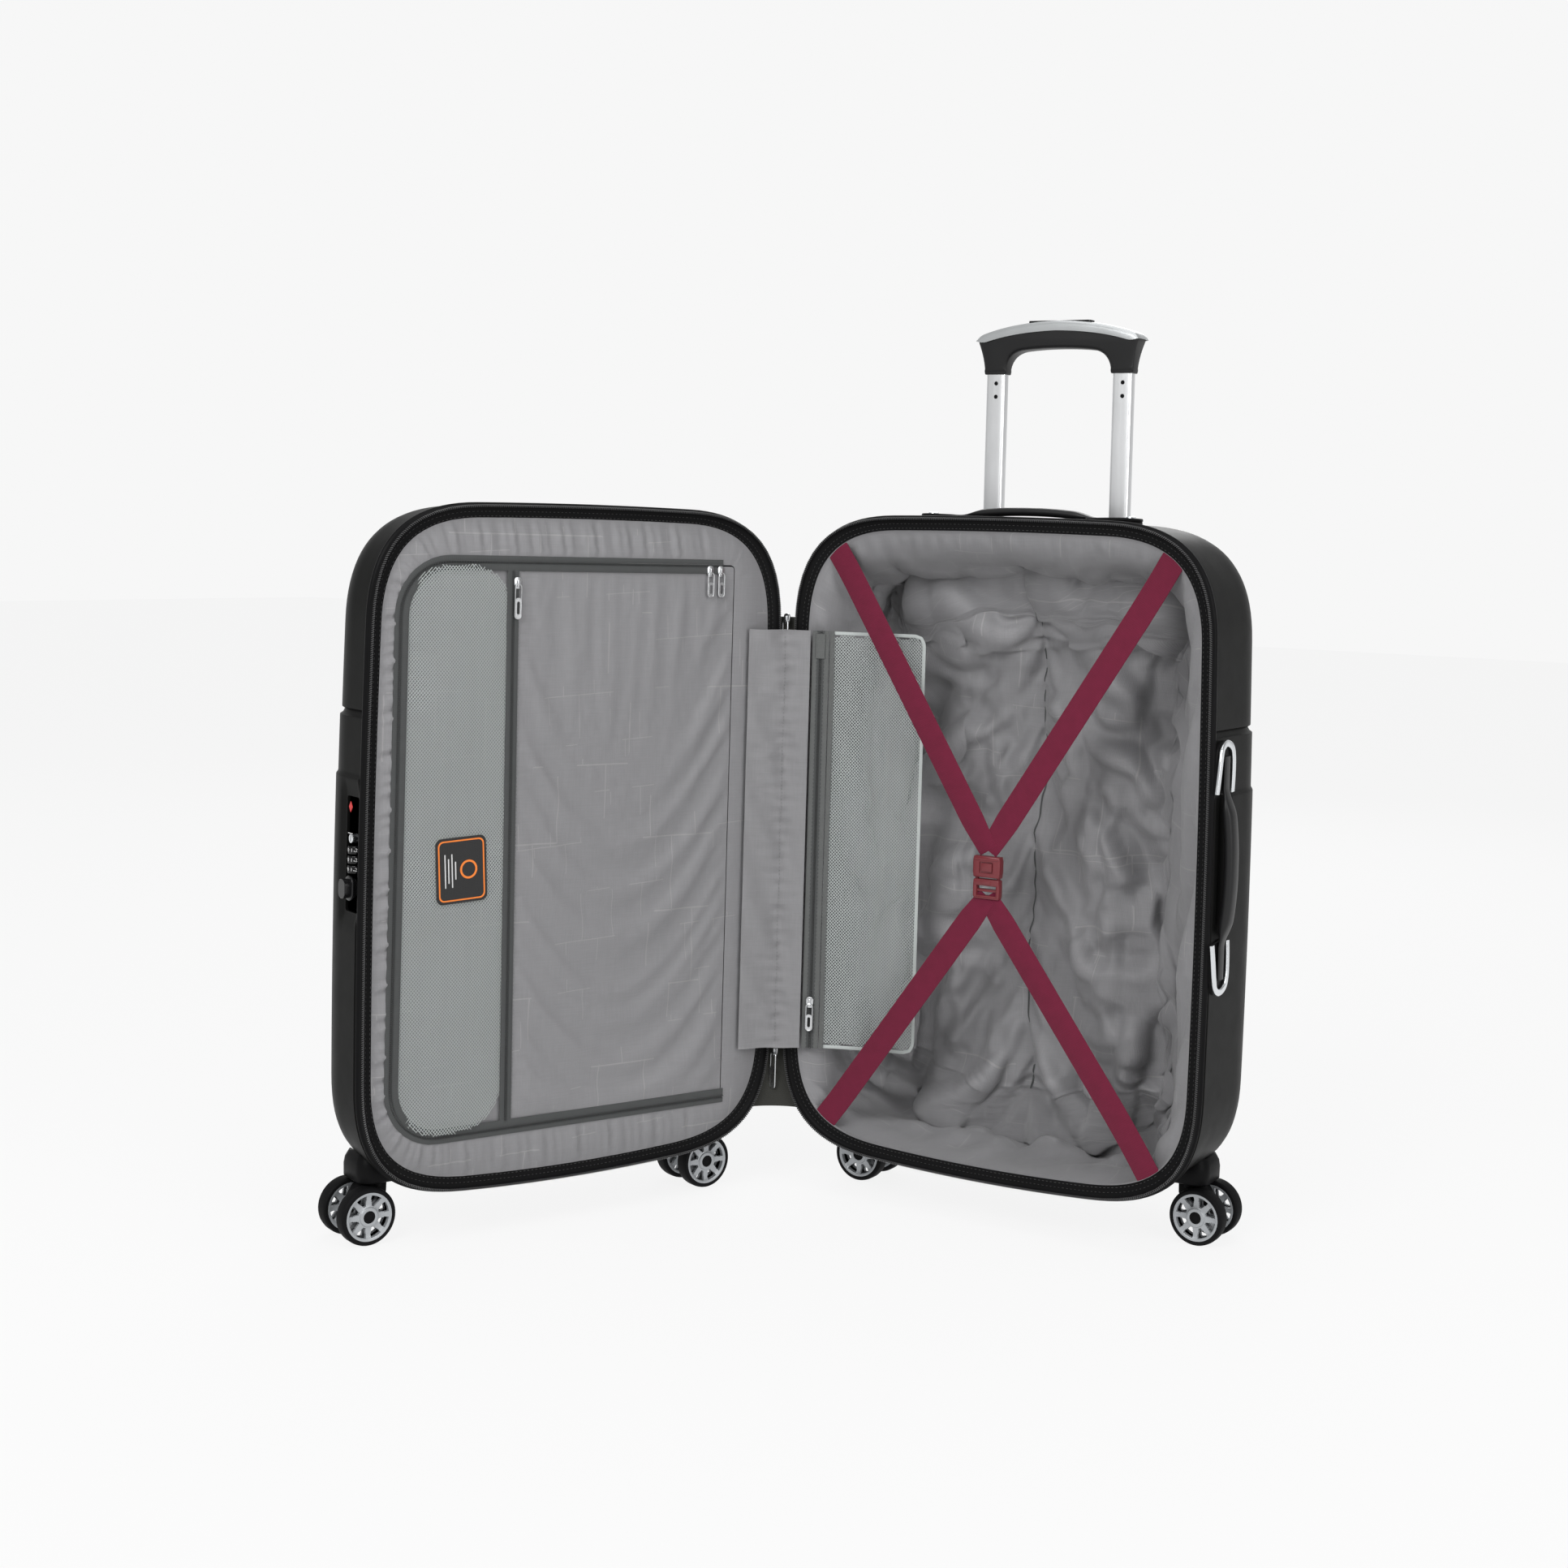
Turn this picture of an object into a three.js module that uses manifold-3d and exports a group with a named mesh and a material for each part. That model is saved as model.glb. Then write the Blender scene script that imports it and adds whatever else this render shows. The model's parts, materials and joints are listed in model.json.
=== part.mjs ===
// Hard shell suitcase on four pairs of swivel wheels, standing upright and opened like a book.
// Millimetres, +Z up. The deep half (base) faces -Y and lies along +X from the hinge. The shallow half (lid)
// is drawn as if the case were opened flat, along -X, and its group then turns about the vertical hinge.
// Each half is described by its opening plane (x across, z up) and by the depth y behind that plane.
import * as THREE from 'three';
import { mergeVertices } from 'three/addons/utils/BufferGeometryUtils.js';
import Module from 'manifold-3d';

const wasm = await Module();
wasm.setup();

// ---------- driving dimensions ----------
const WIDTH = 438;            // one half, across the opening
const HEIGHT = 622;           // shell only, without wheels
const BASE_DEPTH = 165;
const LID_DEPTH = 105;
const FLOOR_GAP = 40;         // underside of the shell above the floor
const HINGE_GAP = 4.5;        // hinge axis to the edge of each half
const OPEN_ANGLE = 112.8;     // angle between the two openings as the case stands
const WALL = 3;
const CORNER = 106;           // outline corner size
const CORNER_PULL = 0.66;     // fullness of the corners, 0.55 being a circle
const SIDE_BULGE = 2;         // how far the long sides belly out
const TOP_BULGE = 1.3;        // how far the top bellies out
const RIM_BOTTOM_BULGE = 3.3; // how far the rim's bottom bellies out
const BOTTOM_BULGE = 9;       // the shell's bottom rises further towards its corners, above the wheels
const BASE_ROUND = 75;        // rounding from the walls into the back
const LID_ROUND = 60;
const GAP = 0.4;              // clearance between neighbours
const FIT = 0.3;              // clearance of pieces cut to follow each other

const MID_X = HINGE_GAP + WIDTH / 2;
const MID_Z = FLOOR_GAP + HEIGHT / 2;
const TOP_Z = FLOOR_GAP + HEIGHT;

const RIM_FRONT = 1, RIM_BACK = 11, RIM_BAND = 13;
const LINING_INSET = 14, LINING_THICK = 2.4;
const GROOVE_Z = 474, STEP_Z = 419, GROOVE_DEEP = 1.2, GROOVE_HIGH = 5;

const WHEEL_R = 26, WHEEL_WIDE = 15, WHEEL_OFF = 19.5, AXLE_R = 3, TRAIL = 15;
const CASTER_X = 178.5;       // swivel axes, each side of the middle
const BASE_CASTER_Y = 91, LID_CASTER_Y = 53;

const TUBE_Y = 129, TUBE_X = 67.5;

// ---------- materials ----------
const finish = (color, roughness, metalness = 0) => () =>
  new THREE.MeshStandardMaterial({ color, roughness, metalness });
const SHELL = finish(0x1b1b1c, 0.55);
const BLACK = finish(0x141414, 0.6);
const RUBBER = finish(0x101010, 0.8);
const SATIN = finish(0x8a8788, 0.7);
const MESH_GREY = finish(0x8f9699, 0.9);
const TAPE = finish(0x56595a, 0.85);
const ALUMINIUM = finish(0xd8dadd, 0.3, 1);
const SILVER = finish(0xc4c6c8, 0.3, 0.9);
const BURGUNDY = finish(0x6d1734, 0.8);
const RED = finish(0x7a1a1f, 0.4);

// ---------- solids ----------
function solid(geometry) {
  const plain = geometry.index ? geometry.toNonIndexed() : geometry.clone();
  plain.deleteAttribute('normal');
  plain.deleteAttribute('uv');
  const merged = mergeVertices(plain, 1e-4);
  return new wasm.Manifold(new wasm.Mesh({
    numProp: 3,
    vertProperties: new Float32Array(merged.attributes.position.array),
    triVerts: new Uint32Array(merged.index.array),
  }));
}

function geometryOf(manifold) {
  const mesh = manifold.getMesh();
  const geometry = new THREE.BufferGeometry();
  geometry.setAttribute('position', new THREE.BufferAttribute(new Float32Array(mesh.vertProperties), 3));
  geometry.setIndex(new THREE.BufferAttribute(new Uint32Array(mesh.triVerts), 1));
  geometry.computeVertexNormals();
  return geometry;
}

function addPart(parent, name, manifold, material) {
  const mesh = new THREE.Mesh(geometryOf(manifold), material());
  mesh.name = name;
  parent.add(mesh);
  return mesh;
}

const joinAll = (first, ...others) => others.reduce((sum, other) => sum.add(other), first);
const cutAll = (first, ...others) => others.reduce((rest, other) => rest.subtract(other), first);

// box by its two corners
function box(x0, x1, y0, y1, z0, z1) {
  const geometry = new THREE.BoxGeometry(x1 - x0, y1 - y0, z1 - z0);
  geometry.translate((x0 + x1) / 2, (y0 + y1) / 2, (z0 + z1) / 2);
  return solid(geometry);
}

// cylinder along one axis, centred on (x, y, z)
function rod(axis, radius, length, x, y, z, sides = 20) {
  const geometry = new THREE.CylinderGeometry(radius, radius, length, sides);
  if (axis === 'x') geometry.rotateZ(Math.PI / 2);
  if (axis === 'z') geometry.rotateX(Math.PI / 2);
  geometry.translate(x, y, z);
  return solid(geometry);
}

// an outline in the (x, z) plane, given thickness from y0 back to y1
function plate(shape, y0, y1, options = {}) {
  const { soften = 0, segments = 3, curve = 5 } = options;
  const geometry = new THREE.ExtrudeGeometry(shape, {
    depth: y1 - y0 - 2 * soften, bevelEnabled: soften > 0, bevelThickness: soften,
    bevelSize: soften, bevelOffset: -soften, bevelSegments: segments, curveSegments: curve,
  });
  geometry.rotateX(Math.PI / 2);
  geometry.translate(0, y1 - soften, 0);
  return solid(geometry);
}

// an outline in the (x, y) plane, given height from z0 up to z1
function upright(shape, z0, z1, curve = 3) {
  const geometry = new THREE.ExtrudeGeometry(shape, { depth: z1 - z0, bevelEnabled: false, curveSegments: curve });
  geometry.translate(0, 0, z0);
  return solid(geometry);
}

function roundedRect(x0, x1, y0, y1, r) {
  const shape = new THREE.Shape();
  shape.moveTo(x0 + r, y0);
  shape.lineTo(x1 - r, y0);
  shape.absarc(x1 - r, y0 + r, r, -Math.PI / 2, 0);
  shape.lineTo(x1, y1 - r);
  shape.absarc(x1 - r, y1 - r, r, 0, Math.PI / 2);
  shape.lineTo(x0 + r, y1);
  shape.absarc(x0 + r, y1 - r, r, Math.PI / 2, Math.PI);
  shape.lineTo(x0, y0 + r);
  shape.absarc(x0 + r, y0 + r, r, Math.PI, 1.5 * Math.PI);
  return shape;
}

// the case's outline, moved in by an inset: rounded corners and slightly bellied sides
function caseOutline(inset, bottomBulge = BOTTOM_BULGE) {
  const hw = WIDTH / 2 - inset;
  const hh = HEIGHT / 2 - inset;
  const r = CORNER - inset * 0.8;
  const pull = CORNER_PULL * r;
  const shape = new THREE.Shape();
  const to = point => [MID_X + point.x, MID_Z + point.y];
  const vector = (x, y) => new THREE.Vector2(x, y);
  // one corner: its end on the side, its end on the top or bottom, and the two points that pull it
  const corner = (right, up) => {
    const bulge = up > 0 ? TOP_BULGE : bottomBulge;
    const side = vector(right * (hw - SIDE_BULGE), up * (hh - r));
    const end = vector(right * (hw - r), up * (hh - bulge));
    const sideWay = vector(-2 * SIDE_BULGE * right, (hh - r) * up).setLength(pull);
    const endWay = vector((hw - r) * right, -2 * bulge * up).setLength(pull);
    return { side, end, nearSide: side.clone().add(sideWay), nearEnd: end.clone().add(endWay) };
  };
  const upwards = c => shape.bezierCurveTo(...to(c.nearSide), ...to(c.nearEnd), ...to(c.end));
  const downwards = c => shape.bezierCurveTo(...to(c.nearEnd), ...to(c.nearSide), ...to(c.side));
  const lowerRight = corner(1, -1), upperRight = corner(1, 1), upperLeft = corner(-1, 1), lowerLeft = corner(-1, -1);
  shape.moveTo(...to(lowerRight.side));
  shape.quadraticCurveTo(...to(vector(hw + SIDE_BULGE, 0)), ...to(upperRight.side));
  upwards(upperRight);
  shape.quadraticCurveTo(...to(vector(0, hh + TOP_BULGE)), ...to(upperLeft.end));
  downwards(upperLeft);
  shape.quadraticCurveTo(...to(vector(-hw - SIDE_BULGE, 0)), ...to(lowerLeft.side));
  upwards(lowerLeft);
  shape.quadraticCurveTo(...to(vector(0, -hh - bottomBulge)), ...to(lowerRight.end));
  downwards(lowerRight);
  return shape;
}

// the filled-in case: outline moved in by inset, from y0 back to y1, its back edge rounded
function caseBody(inset, y0, y1, round, steps = 5) {
  const levels = [{ inset, y: y0 }];
  for (let i = 0; i <= steps; i++) {
    const turn = i / steps * Math.PI / 2;
    levels.push({ inset: inset + round * (1 - Math.cos(turn)), y: y1 - round * (1 - Math.sin(turn)) });
  }
  const rings = levels.map(level => caseOutline(level.inset).getPoints(5).slice(0, -1)
    .map(point => [point.x, level.y, point.y]));
  const count = rings[0].length;
  const places = [...rings.flat(), [MID_X, y0, MID_Z], [MID_X, y1, MID_Z]];
  const faces = [];
  for (let i = 0; i < count; i++) {
    const next = (i + 1) % count;
    for (let row = 0; row < rings.length - 1; row++) {
      const front = row * count, back = front + count;
      faces.push(front + i, back + i, front + next, front + next, back + i, back + next);
    }
    const last = (rings.length - 1) * count;
    faces.push(places.length - 2, i, next, places.length - 1, last + next, last + i);
  }
  const geometry = new THREE.BufferGeometry();
  geometry.setAttribute('position', new THREE.Float32BufferAttribute(places.flat(), 3));
  geometry.setIndex(faces);
  return solid(geometry);
}

const ringPlate = (insetOut, insetIn, y0, y1) =>
  plate(caseOutline(insetOut, RIM_BOTTOM_BULGE), y0, y1)
    .subtract(plate(caseOutline(insetIn, RIM_BOTTOM_BULGE), y0 - 1, y1 + 1));

// ---------- halves ----------
function shellSolid(depth, round) {
  const outer = caseBody(0, RIM_BACK + FIT, depth, round);
  const inner = caseBody(WALL, RIM_BACK - 1, depth - WALL, round - WALL);
  const core = caseBody(GROOVE_DEEP, RIM_BACK - 1, depth - GROOVE_DEEP, round - GROOVE_DEEP);
  const grooves = [GROOVE_Z, STEP_Z].map(z =>
    box(-50, WIDTH + 60, RIM_BACK - 2, depth + 20, z - GROOVE_HIGH / 2, z + GROOVE_HIGH / 2).subtract(core));
  return cutAll(outer, inner, ...grooves);
}

function liningTray(y0, back, round) {
  const outer = caseBody(LINING_INSET, y0, back, round);
  return outer.subtract(caseBody(LINING_INSET + LINING_THICK, y0 - 1, back - LINING_THICK, round - LINING_THICK));
}

// ---------- casters ----------
function wheelSolid() {
  const half = WHEEL_WIDE / 2;
  const profile = [[AXLE_R + GAP, -half], [WHEEL_R - 2, -half], [WHEEL_R, -half + 2.5],
    [WHEEL_R, half - 2.5], [WHEEL_R - 2, half], [AXLE_R + GAP, half]];
  profile.push(profile[0]);
  return solid(new THREE.LatheGeometry(profile.map(p => new THREE.Vector2(...p)), 20));
}

function casterFork() {
  const cheek = WHEEL_OFF - WHEEL_WIDE / 2 - 2 * GAP;
  const arm = new THREE.Shape();
  arm.moveTo(-8, 48);
  arm.lineTo(-8, 40);
  arm.quadraticCurveTo(-2, 24, TRAIL - 9, WHEEL_R);
  arm.absarc(TRAIL, WHEEL_R, 9, Math.PI, 2 * Math.PI);
  arm.quadraticCurveTo(TRAIL + 8, 40, 9, 48);
  const stem = rod('z', 9, 8, 0, 0, 48);
  const axle = rod('y', AXLE_R, 2 * WHEEL_OFF + WHEEL_WIDE, TRAIL, 0, WHEEL_R, 12);
  return joinAll(plate(arm, -cheek, cheek, { curve: 4 }), stem, axle);
}

function addCaster(half, label, x, y, outward, solidCase) {
  const block = joinAll(
    upright(roundedRect(x - 23, x + 23, y - 25, y + 25, 13), 54, 100, 4),
    rod('z', 11, 3, x, y, 53.6));
  const socket = block.subtract(solidCase)
    .intersect(upright(roundedRect(HINGE_GAP, HINGE_GAP + WIDTH, y - 60, y + 60, 20), 50, 82, 4));
  addPart(half, `${label}_caster_housing`, socket, BLACK);
  const place = new THREE.Group();
  place.position.set(x, y, 0);
  place.rotation.z = outward > 0 ? 0 : Math.PI;
  half.add(place);
  addPart(place, `${label}_caster_fork`, casterFork(), BLACK);
  [-1, 1].forEach(side => {
    const wheel = addPart(place, `${label}_wheel_${side * outward < 0 ? 'front' : 'rear'}`, wheelSolid(), RUBBER);
    wheel.position.set(TRAIL, side * WHEEL_OFF, WHEEL_R);
  });
}

// ---------- carry handles ----------
// drawn lying along x, standing proud towards +z, on a surface at z = 0
const CARRY = { half: 114, bracket: 44, wide: 13, proud: 15 };

function carryBracket(side) {
  const { half, bracket, wide, proud } = CARRY;
  const outline = new THREE.Shape();
  outline.moveTo(half, -8);
  outline.quadraticCurveTo(half + 1, proud - 2, half - 14, proud);
  outline.lineTo(half - bracket, proud);
  outline.lineTo(half - bracket, -8);
  const body = plate(outline, -wide, wide, { soften: 2, segments: 1 });
  const mouth = box(half - bracket - 5, half - 12, -wide + 3, wide - 3, 1, proud - 1.6);
  const whole = body.subtract(mouth);
  return side > 0 ? whole : whole.mirror([1, 0, 0]);
}

function carryGrip() {
  const { half, bracket, wide, proud } = CARRY;
  const tip = half - 13 - GAP;
  const span = half - bracket - 2;
  const outline = new THREE.Shape();
  outline.moveTo(-tip, 1.8);
  outline.lineTo(-span, 1.8);
  outline.quadraticCurveTo(0, 19, span, 1.8);
  outline.lineTo(tip, 1.8);
  outline.lineTo(tip, 5);
  outline.lineTo(span, 5);
  outline.quadraticCurveTo(span - 6, proud, span - 22, proud + 1);
  outline.lineTo(-span + 22, proud + 1);
  outline.quadraticCurveTo(-span + 6, proud, -span, 5);
  outline.lineTo(-tip, 5);
  return plate(outline, -wide + 3.6, wide - 3.6, { curve: 5 });
}

// stands a carry handle piece on the top or on the outer side of the base, its foot following the shell
function onTop(piece) {
  return piece.translate([MID_X, 72, TOP_Z - 3]);
}
function onSide(piece) {
  return piece.rotate([0, 90, 0]).translate([HINGE_GAP + WIDTH - 1.5, 27, 355]);
}

function addCarryHandle(half, label, stand) {
  const clear = caseBody(-FIT, -10, BASE_DEPTH, BASE_ROUND);
  [['upper', 1], ['lower', -1]].forEach(([end, side]) => {
    const name = label === 'top' ? (side > 0 ? 'outer' : 'inner') : (side > 0 ? 'lower' : 'upper');
    addPart(half, `${label}_handle_bracket_${name}`, stand(carryBracket(side)).subtract(clear), SILVER);
  });
  addPart(half, `${label}_handle_grip`, stand(carryGrip()).subtract(clear), BLACK);
}

// ---------- pull handle ----------
const TUBES = [['inner', MID_X - TUBE_X], ['outer', MID_X + TUBE_X]];
const COLLAR_Z = 805;
const CUP = { half: 104, front: 113.6, back: 143.6, bottom: 600 };

function tube(x, wide, deep, wallThick, z0, z1) {
  const outer = roundedRect(x - wide / 2, x + wide / 2, TUBE_Y - deep / 2, TUBE_Y + deep / 2, 3);
  outer.holes.push(roundedRect(x - wide / 2 + wallThick, x + wide / 2 - wallThick,
    TUBE_Y - deep / 2 + wallThick, TUBE_Y + deep / 2 - wallThick, 2));
  return upright(outer, z0, z1, 2);
}

// half widths of the grip at its legs and tips
const GRIP = { inside: 55.5, outside: 79.5, tip: 85, tipZ: 838, topZ: 855, underZ: 825 };
const BUTTON = { half: 30, deep: 6, floor: 847, low: 850.6, edge: 852.5 };

function gripSolid() {
  const { inside, outside, tip, tipZ, topZ, underZ } = GRIP;
  const outline = new THREE.Shape();
  const at = (x, z) => [MID_X + x, z];
  outline.moveTo(...at(-outside, COLLAR_Z));
  outline.quadraticCurveTo(...at(-outside, tipZ - 10), ...at(-tip, tipZ));
  outline.quadraticCurveTo(...at(0, 2 * topZ - tipZ), ...at(tip, tipZ));
  outline.quadraticCurveTo(...at(outside, tipZ - 10), ...at(outside, COLLAR_Z));
  outline.lineTo(...at(inside, COLLAR_Z));
  outline.quadraticCurveTo(...at(inside - 1, underZ - 1), ...at(inside - 16, underZ));
  outline.quadraticCurveTo(...at(0, underZ + 5), ...at(16 - inside, underZ));
  outline.quadraticCurveTo(...at(1 - inside, underZ - 1), ...at(-inside, COLLAR_Z));
  const body = plate(outline, TUBE_Y - 12.5, TUBE_Y + 12.5, { soften: 3, segments: 2, curve: 6 });
  const { half, deep, floor } = BUTTON;
  return body.subtract(box(MID_X - half, MID_X + half, TUBE_Y - deep, TUBE_Y + deep, floor, topZ + 10));
}

function gripButton() {
  const { half, deep, low, edge } = BUTTON;
  const outline = new THREE.Shape();
  outline.moveTo(MID_X - half + GAP, low);
  outline.lineTo(MID_X + half - GAP, low);
  outline.lineTo(MID_X + half - GAP, edge);
  outline.quadraticCurveTo(MID_X, edge + 4.5, MID_X - half + GAP, edge);
  return plate(outline, TUBE_Y - deep + GAP, TUBE_Y + deep - GAP);
}

const housingBlock = grow => box(MID_X - CUP.half - grow, MID_X + CUP.half + grow,
  CUP.front - grow, CUP.back + grow, CUP.bottom - grow, TOP_Z + 20);

function handleHousing() {
  const block = housingBlock(0).intersect(caseBody(-1, 0, BASE_DEPTH + 1, BASE_ROUND + 1));
  const mouth = box(MID_X - 93, MID_X + 93, CUP.front + 2, CUP.back - 1.4, CUP.bottom + 11.7, TOP_Z + 30);
  const holes = TUBES.map(([, x]) => box(x - 12.6, x + 12.6, TUBE_Y - 8.6, TUBE_Y + 8.6, 590, 620));
  return cutAll(block, mouth, ...holes);
}

function guideFrame() {
  const z0 = 70, z1 = CUP.bottom - GAP;
  const tubes = TUBES.map(([, x]) => tube(x, 29, 20, 2.1, z0, z1));
  const foot = box(MID_X - TUBE_X - 13, MID_X + TUBE_X + 13, TUBE_Y - 9, TUBE_Y + 9, z0 + 2, z0 + 26);
  const passages = TUBES.map(([, x]) => box(x - 12.4, x + 12.4, TUBE_Y - 7.9, TUBE_Y + 7.9, z0 - 5, z0 + 40));
  const bar = cutAll(foot, ...passages);
  return joinAll(tubes[0], tubes[1], bar);
}

// ---------- straps and buckle ----------
const STRAP_WIDE = 24, STRAP_THICK = 1.2, STRAP_Y = 12;
const BUCKLE = { x: MID_X - 4, z: 329, half: 14.5, y0: 9.5, y1: 19.5, split: 324, top: 352, bottom: 305 };

function strapSolid(fromX, fromZ, toX, toZ, layer) {
  const way = new THREE.Vector2(toX - fromX, toZ - fromZ);
  const length = way.length();
  const geometry = new THREE.BoxGeometry(length, STRAP_THICK, STRAP_WIDE);
  geometry.rotateY(-way.angle());
  const y = STRAP_Y + layer * (STRAP_THICK + GAP);
  geometry.translate((fromX + toX) / 2, y, (fromZ + toZ) / 2);
  return solid(geometry);
}

function addStraps(half) {
  const inside = plate(caseOutline(LINING_INSET + LINING_THICK + FIT), 0, 40);
  const { x, top, bottom } = BUCKLE;
  const keepOut = box(x - 60, x + 60, 0, 30, bottom - FIT, top + FIT);
  [['upper_inner', MID_X - 185, 645, top - 20, 0], ['upper_outer', MID_X + 185, 645, top - 20, 1],
    ['lower_inner', MID_X - 185, 52, bottom + 20, 0], ['lower_outer', MID_X + 185, 52, bottom + 20, 1],
  ].forEach(([name, endX, endZ, nearZ, layer]) => {
    const strap = strapSolid(endX, endZ, x, nearZ, layer);
    addPart(half, `strap_${name}`, strap.intersect(inside).subtract(keepOut), BURGUNDY);
  });
}

function addBuckle(half) {
  const { x, half: w, y0, y1, split, top, bottom } = BUCKLE;
  const socket = box(x - w, x + w, y0, y1, split, top);
  const pocket = box(x - w + 3, x + w - 3, y0 + 2, y1 - 2, split - 5, top - 10);
  const window = box(x - 7, x + 7, y0 - 1, y0 + 5, split + 5, split + 16);
  addPart(half, 'buckle_socket', cutAll(socket, pocket, window), RED);
  const bar = box(x - w, x + w, y0, y1, bottom, split - FIT);
  const tongue = box(x - w + 3.5, x + w - 3.5, y0 + 2.5, y1 - 2.5, split - 2, top - 11);
  addPart(half, 'buckle_clip', joinAll(bar, tongue), RED);
}

// ---------- hinge, pocket and zips ----------
const HINGE_IN = 5.6, HINGE_OUT = 7.1;
const HINGE_ARC = { from: 54.5, to: 194.5 };      // degrees about the hinge, from behind the base to behind the lid

function sectorShape(r0, r1, fromDeg, toDeg) {
  const a0 = THREE.MathUtils.degToRad(fromDeg);
  const a1 = THREE.MathUtils.degToRad(toDeg);
  const shape = new THREE.Shape();
  shape.absarc(0, 0, r1, a0, a1, false);
  shape.absarc(0, 0, r0, a1, a0, true);
  return shape;
}

function strip(x0, y0, x1, y1, thick) {
  const way = new THREE.Vector2(x1 - x0, y1 - y0).normalize().multiplyScalar(thick / 2);
  const shape = new THREE.Shape();
  shape.moveTo(x0 - way.y, y0 + way.x);
  shape.lineTo(x0 + way.y, y0 - way.x);
  shape.lineTo(x1 + way.y, y1 - way.x);
  shape.lineTo(x1 - way.y, y1 + way.x);
  return shape;
}

const lidTurn = THREE.MathUtils.degToRad(180 - OPEN_ANGLE);
const onLid = (x, y) => new THREE.Vector2(x, y).rotateAround(new THREE.Vector2(), lidTurn);

// a zip slider with its pull hanging in front, as one piece, at the origin, facing -y
function sliderSolid(halfWide, pull) {
  const body = box(-halfWide, halfWide, -1.4, 0.4, -5, 5);
  const tag = box(-halfWide + 0.6, halfWide - 0.6, -2, -1.2, -4 - pull, -2);
  return joinAll(body, tag);
}

// ---------- base ----------
const base = new THREE.Group();
addPart(base, 'base_shell', shellSolid(BASE_DEPTH, BASE_ROUND).subtract(housingBlock(FIT)), SHELL);
addPart(base, 'base_rim', ringPlate(0, RIM_BAND, RIM_FRONT, RIM_BACK), BLACK);

// the lining reaches deep into the back, but stands clear of the pull handle's guides and housing
function baseLining() {
  const tray = liningTray(2, 150, 60);
  const cover = grow => joinAll(
    ...TUBES.map(([, x]) => box(x - 18 + grow, x + 18 - grow, 114 + grow, 170, 30, 640)),
    box(MID_X - TUBE_X + grow, MID_X + TUBE_X - grow, 114 + grow, 170, 30, 100 - grow),
    box(MID_X - 107 + grow, MID_X + 107 - grow, 109 + grow, 170, 596 + grow, 690));
  const inside = caseBody(LINING_INSET, 2, 150, 60);
  return tray.subtract(cover(LINING_THICK)).add(cover(0).subtract(cover(LINING_THICK)).intersect(inside));
}
addPart(base, 'base_lining', baseLining(), SATIN);
addPart(base, 'handle_housing', handleHousing(), BLACK);
addPart(base, 'handle_guide_frame', guideFrame(), ALUMINIUM);
TUBES.forEach(([name, x]) => {
  addPart(base, `handle_middle_tube_${name}`, tube(x, 24, 15, 1.4, 70, 610), ALUMINIUM);
  addPart(base, `handle_upper_tube_${name}`, tube(x, 20.4, 11.4, 1.4, 265, COLLAR_Z - FIT), ALUMINIUM);
});
addPart(base, 'handle_grip', gripSolid(), BLACK);
addPart(base, 'handle_button', gripButton(), SILVER);
addCarryHandle(base, 'top', onTop);
addCarryHandle(base, 'side', onSide);
addStraps(base);
addBuckle(base);

const POCKET = { x0: 28, y0: 3.4, seamX: 44, x1: 131, y1: 40, z0: 140, z1: 548, thick: 1.6 };
const pocketY = x => POCKET.y0 + (x - POCKET.x0) * (POCKET.y1 - POCKET.y0) / (POCKET.x1 - POCKET.x0);
addPart(base, 'pocket_band',
  upright(strip(POCKET.x0, POCKET.y0, POCKET.seamX, pocketY(POCKET.seamX), POCKET.thick), POCKET.z0, POCKET.z1), TAPE);
addPart(base, 'pocket_mesh',
  upright(strip(POCKET.seamX + GAP, pocketY(POCKET.seamX + GAP), POCKET.x1, POCKET.y1, POCKET.thick),
    POCKET.z0 + 4, POCKET.z1 - 6), MESH_GREY);
const PULL_X = 35;
addPart(base, 'pocket_slider',
  sliderSolid(3.6, 22).rotate([0, 0, 19]).translate([PULL_X + 0.3, pocketY(PULL_X) - 1.8, 185]), SILVER);
[['top', 558, 22], ['bottom', 133, 34]].forEach(([name, z, pull]) => {
  addPart(base, `main_zip_slider_${name}`,
    joinAll(box(-3.2, 3.2, -2.4, 2.4, z - 6, z + 6), box(-3, 3, -2.9, -1.5, z - 6 - pull, z - 4)), SILVER);
});
addPart(base, 'hinge_fabric', upright(sectorShape(HINGE_IN, HINGE_OUT, HINGE_ARC.from, HINGE_ARC.to), 80, 560, 8), BLACK);
const flapEnd = onLid(-46, -1.6);
addPart(base, 'hinge_flap', upright(strip(flapEnd.x, flapEnd.y, POCKET.x0 - 1, -0.5, 1), POCKET.z0, POCKET.z1), SATIN);

const baseCase = caseBody(-FIT, -10, BASE_DEPTH, BASE_ROUND);
addCaster(base, 'base_inner', MID_X - CASTER_X, BASE_CASTER_Y, 1, baseCase);
addCaster(base, 'base_outer', MID_X + CASTER_X, BASE_CASTER_Y, 1, baseCase);

// ---------- lid: its outline is symmetric, so what is drawn along +X is moved over to -X ----------
const lid = new THREE.Group();

const LOCK = { x: -(HINGE_GAP + WIDTH), y0: 13, y1: 37, z0: 300, z1: 401 };
const DOOR = { inner: -62, outer: -412, bottom: 95, top: 609, y0: 3, y1: 5.2 };
const MESH = { inner: -302, outer: -402, bottom: 105, top: 599 };

const slideOver = manifold => manifold.translate([-2 * MID_X, 0, 0]);
const lockBlock = grow => box(LOCK.x + 15 - 30, LOCK.x + 15 - 1.5 + grow, LOCK.y0 - grow, LOCK.y1 + grow,
  LOCK.z0 - grow, LOCK.z1 + grow);

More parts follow.
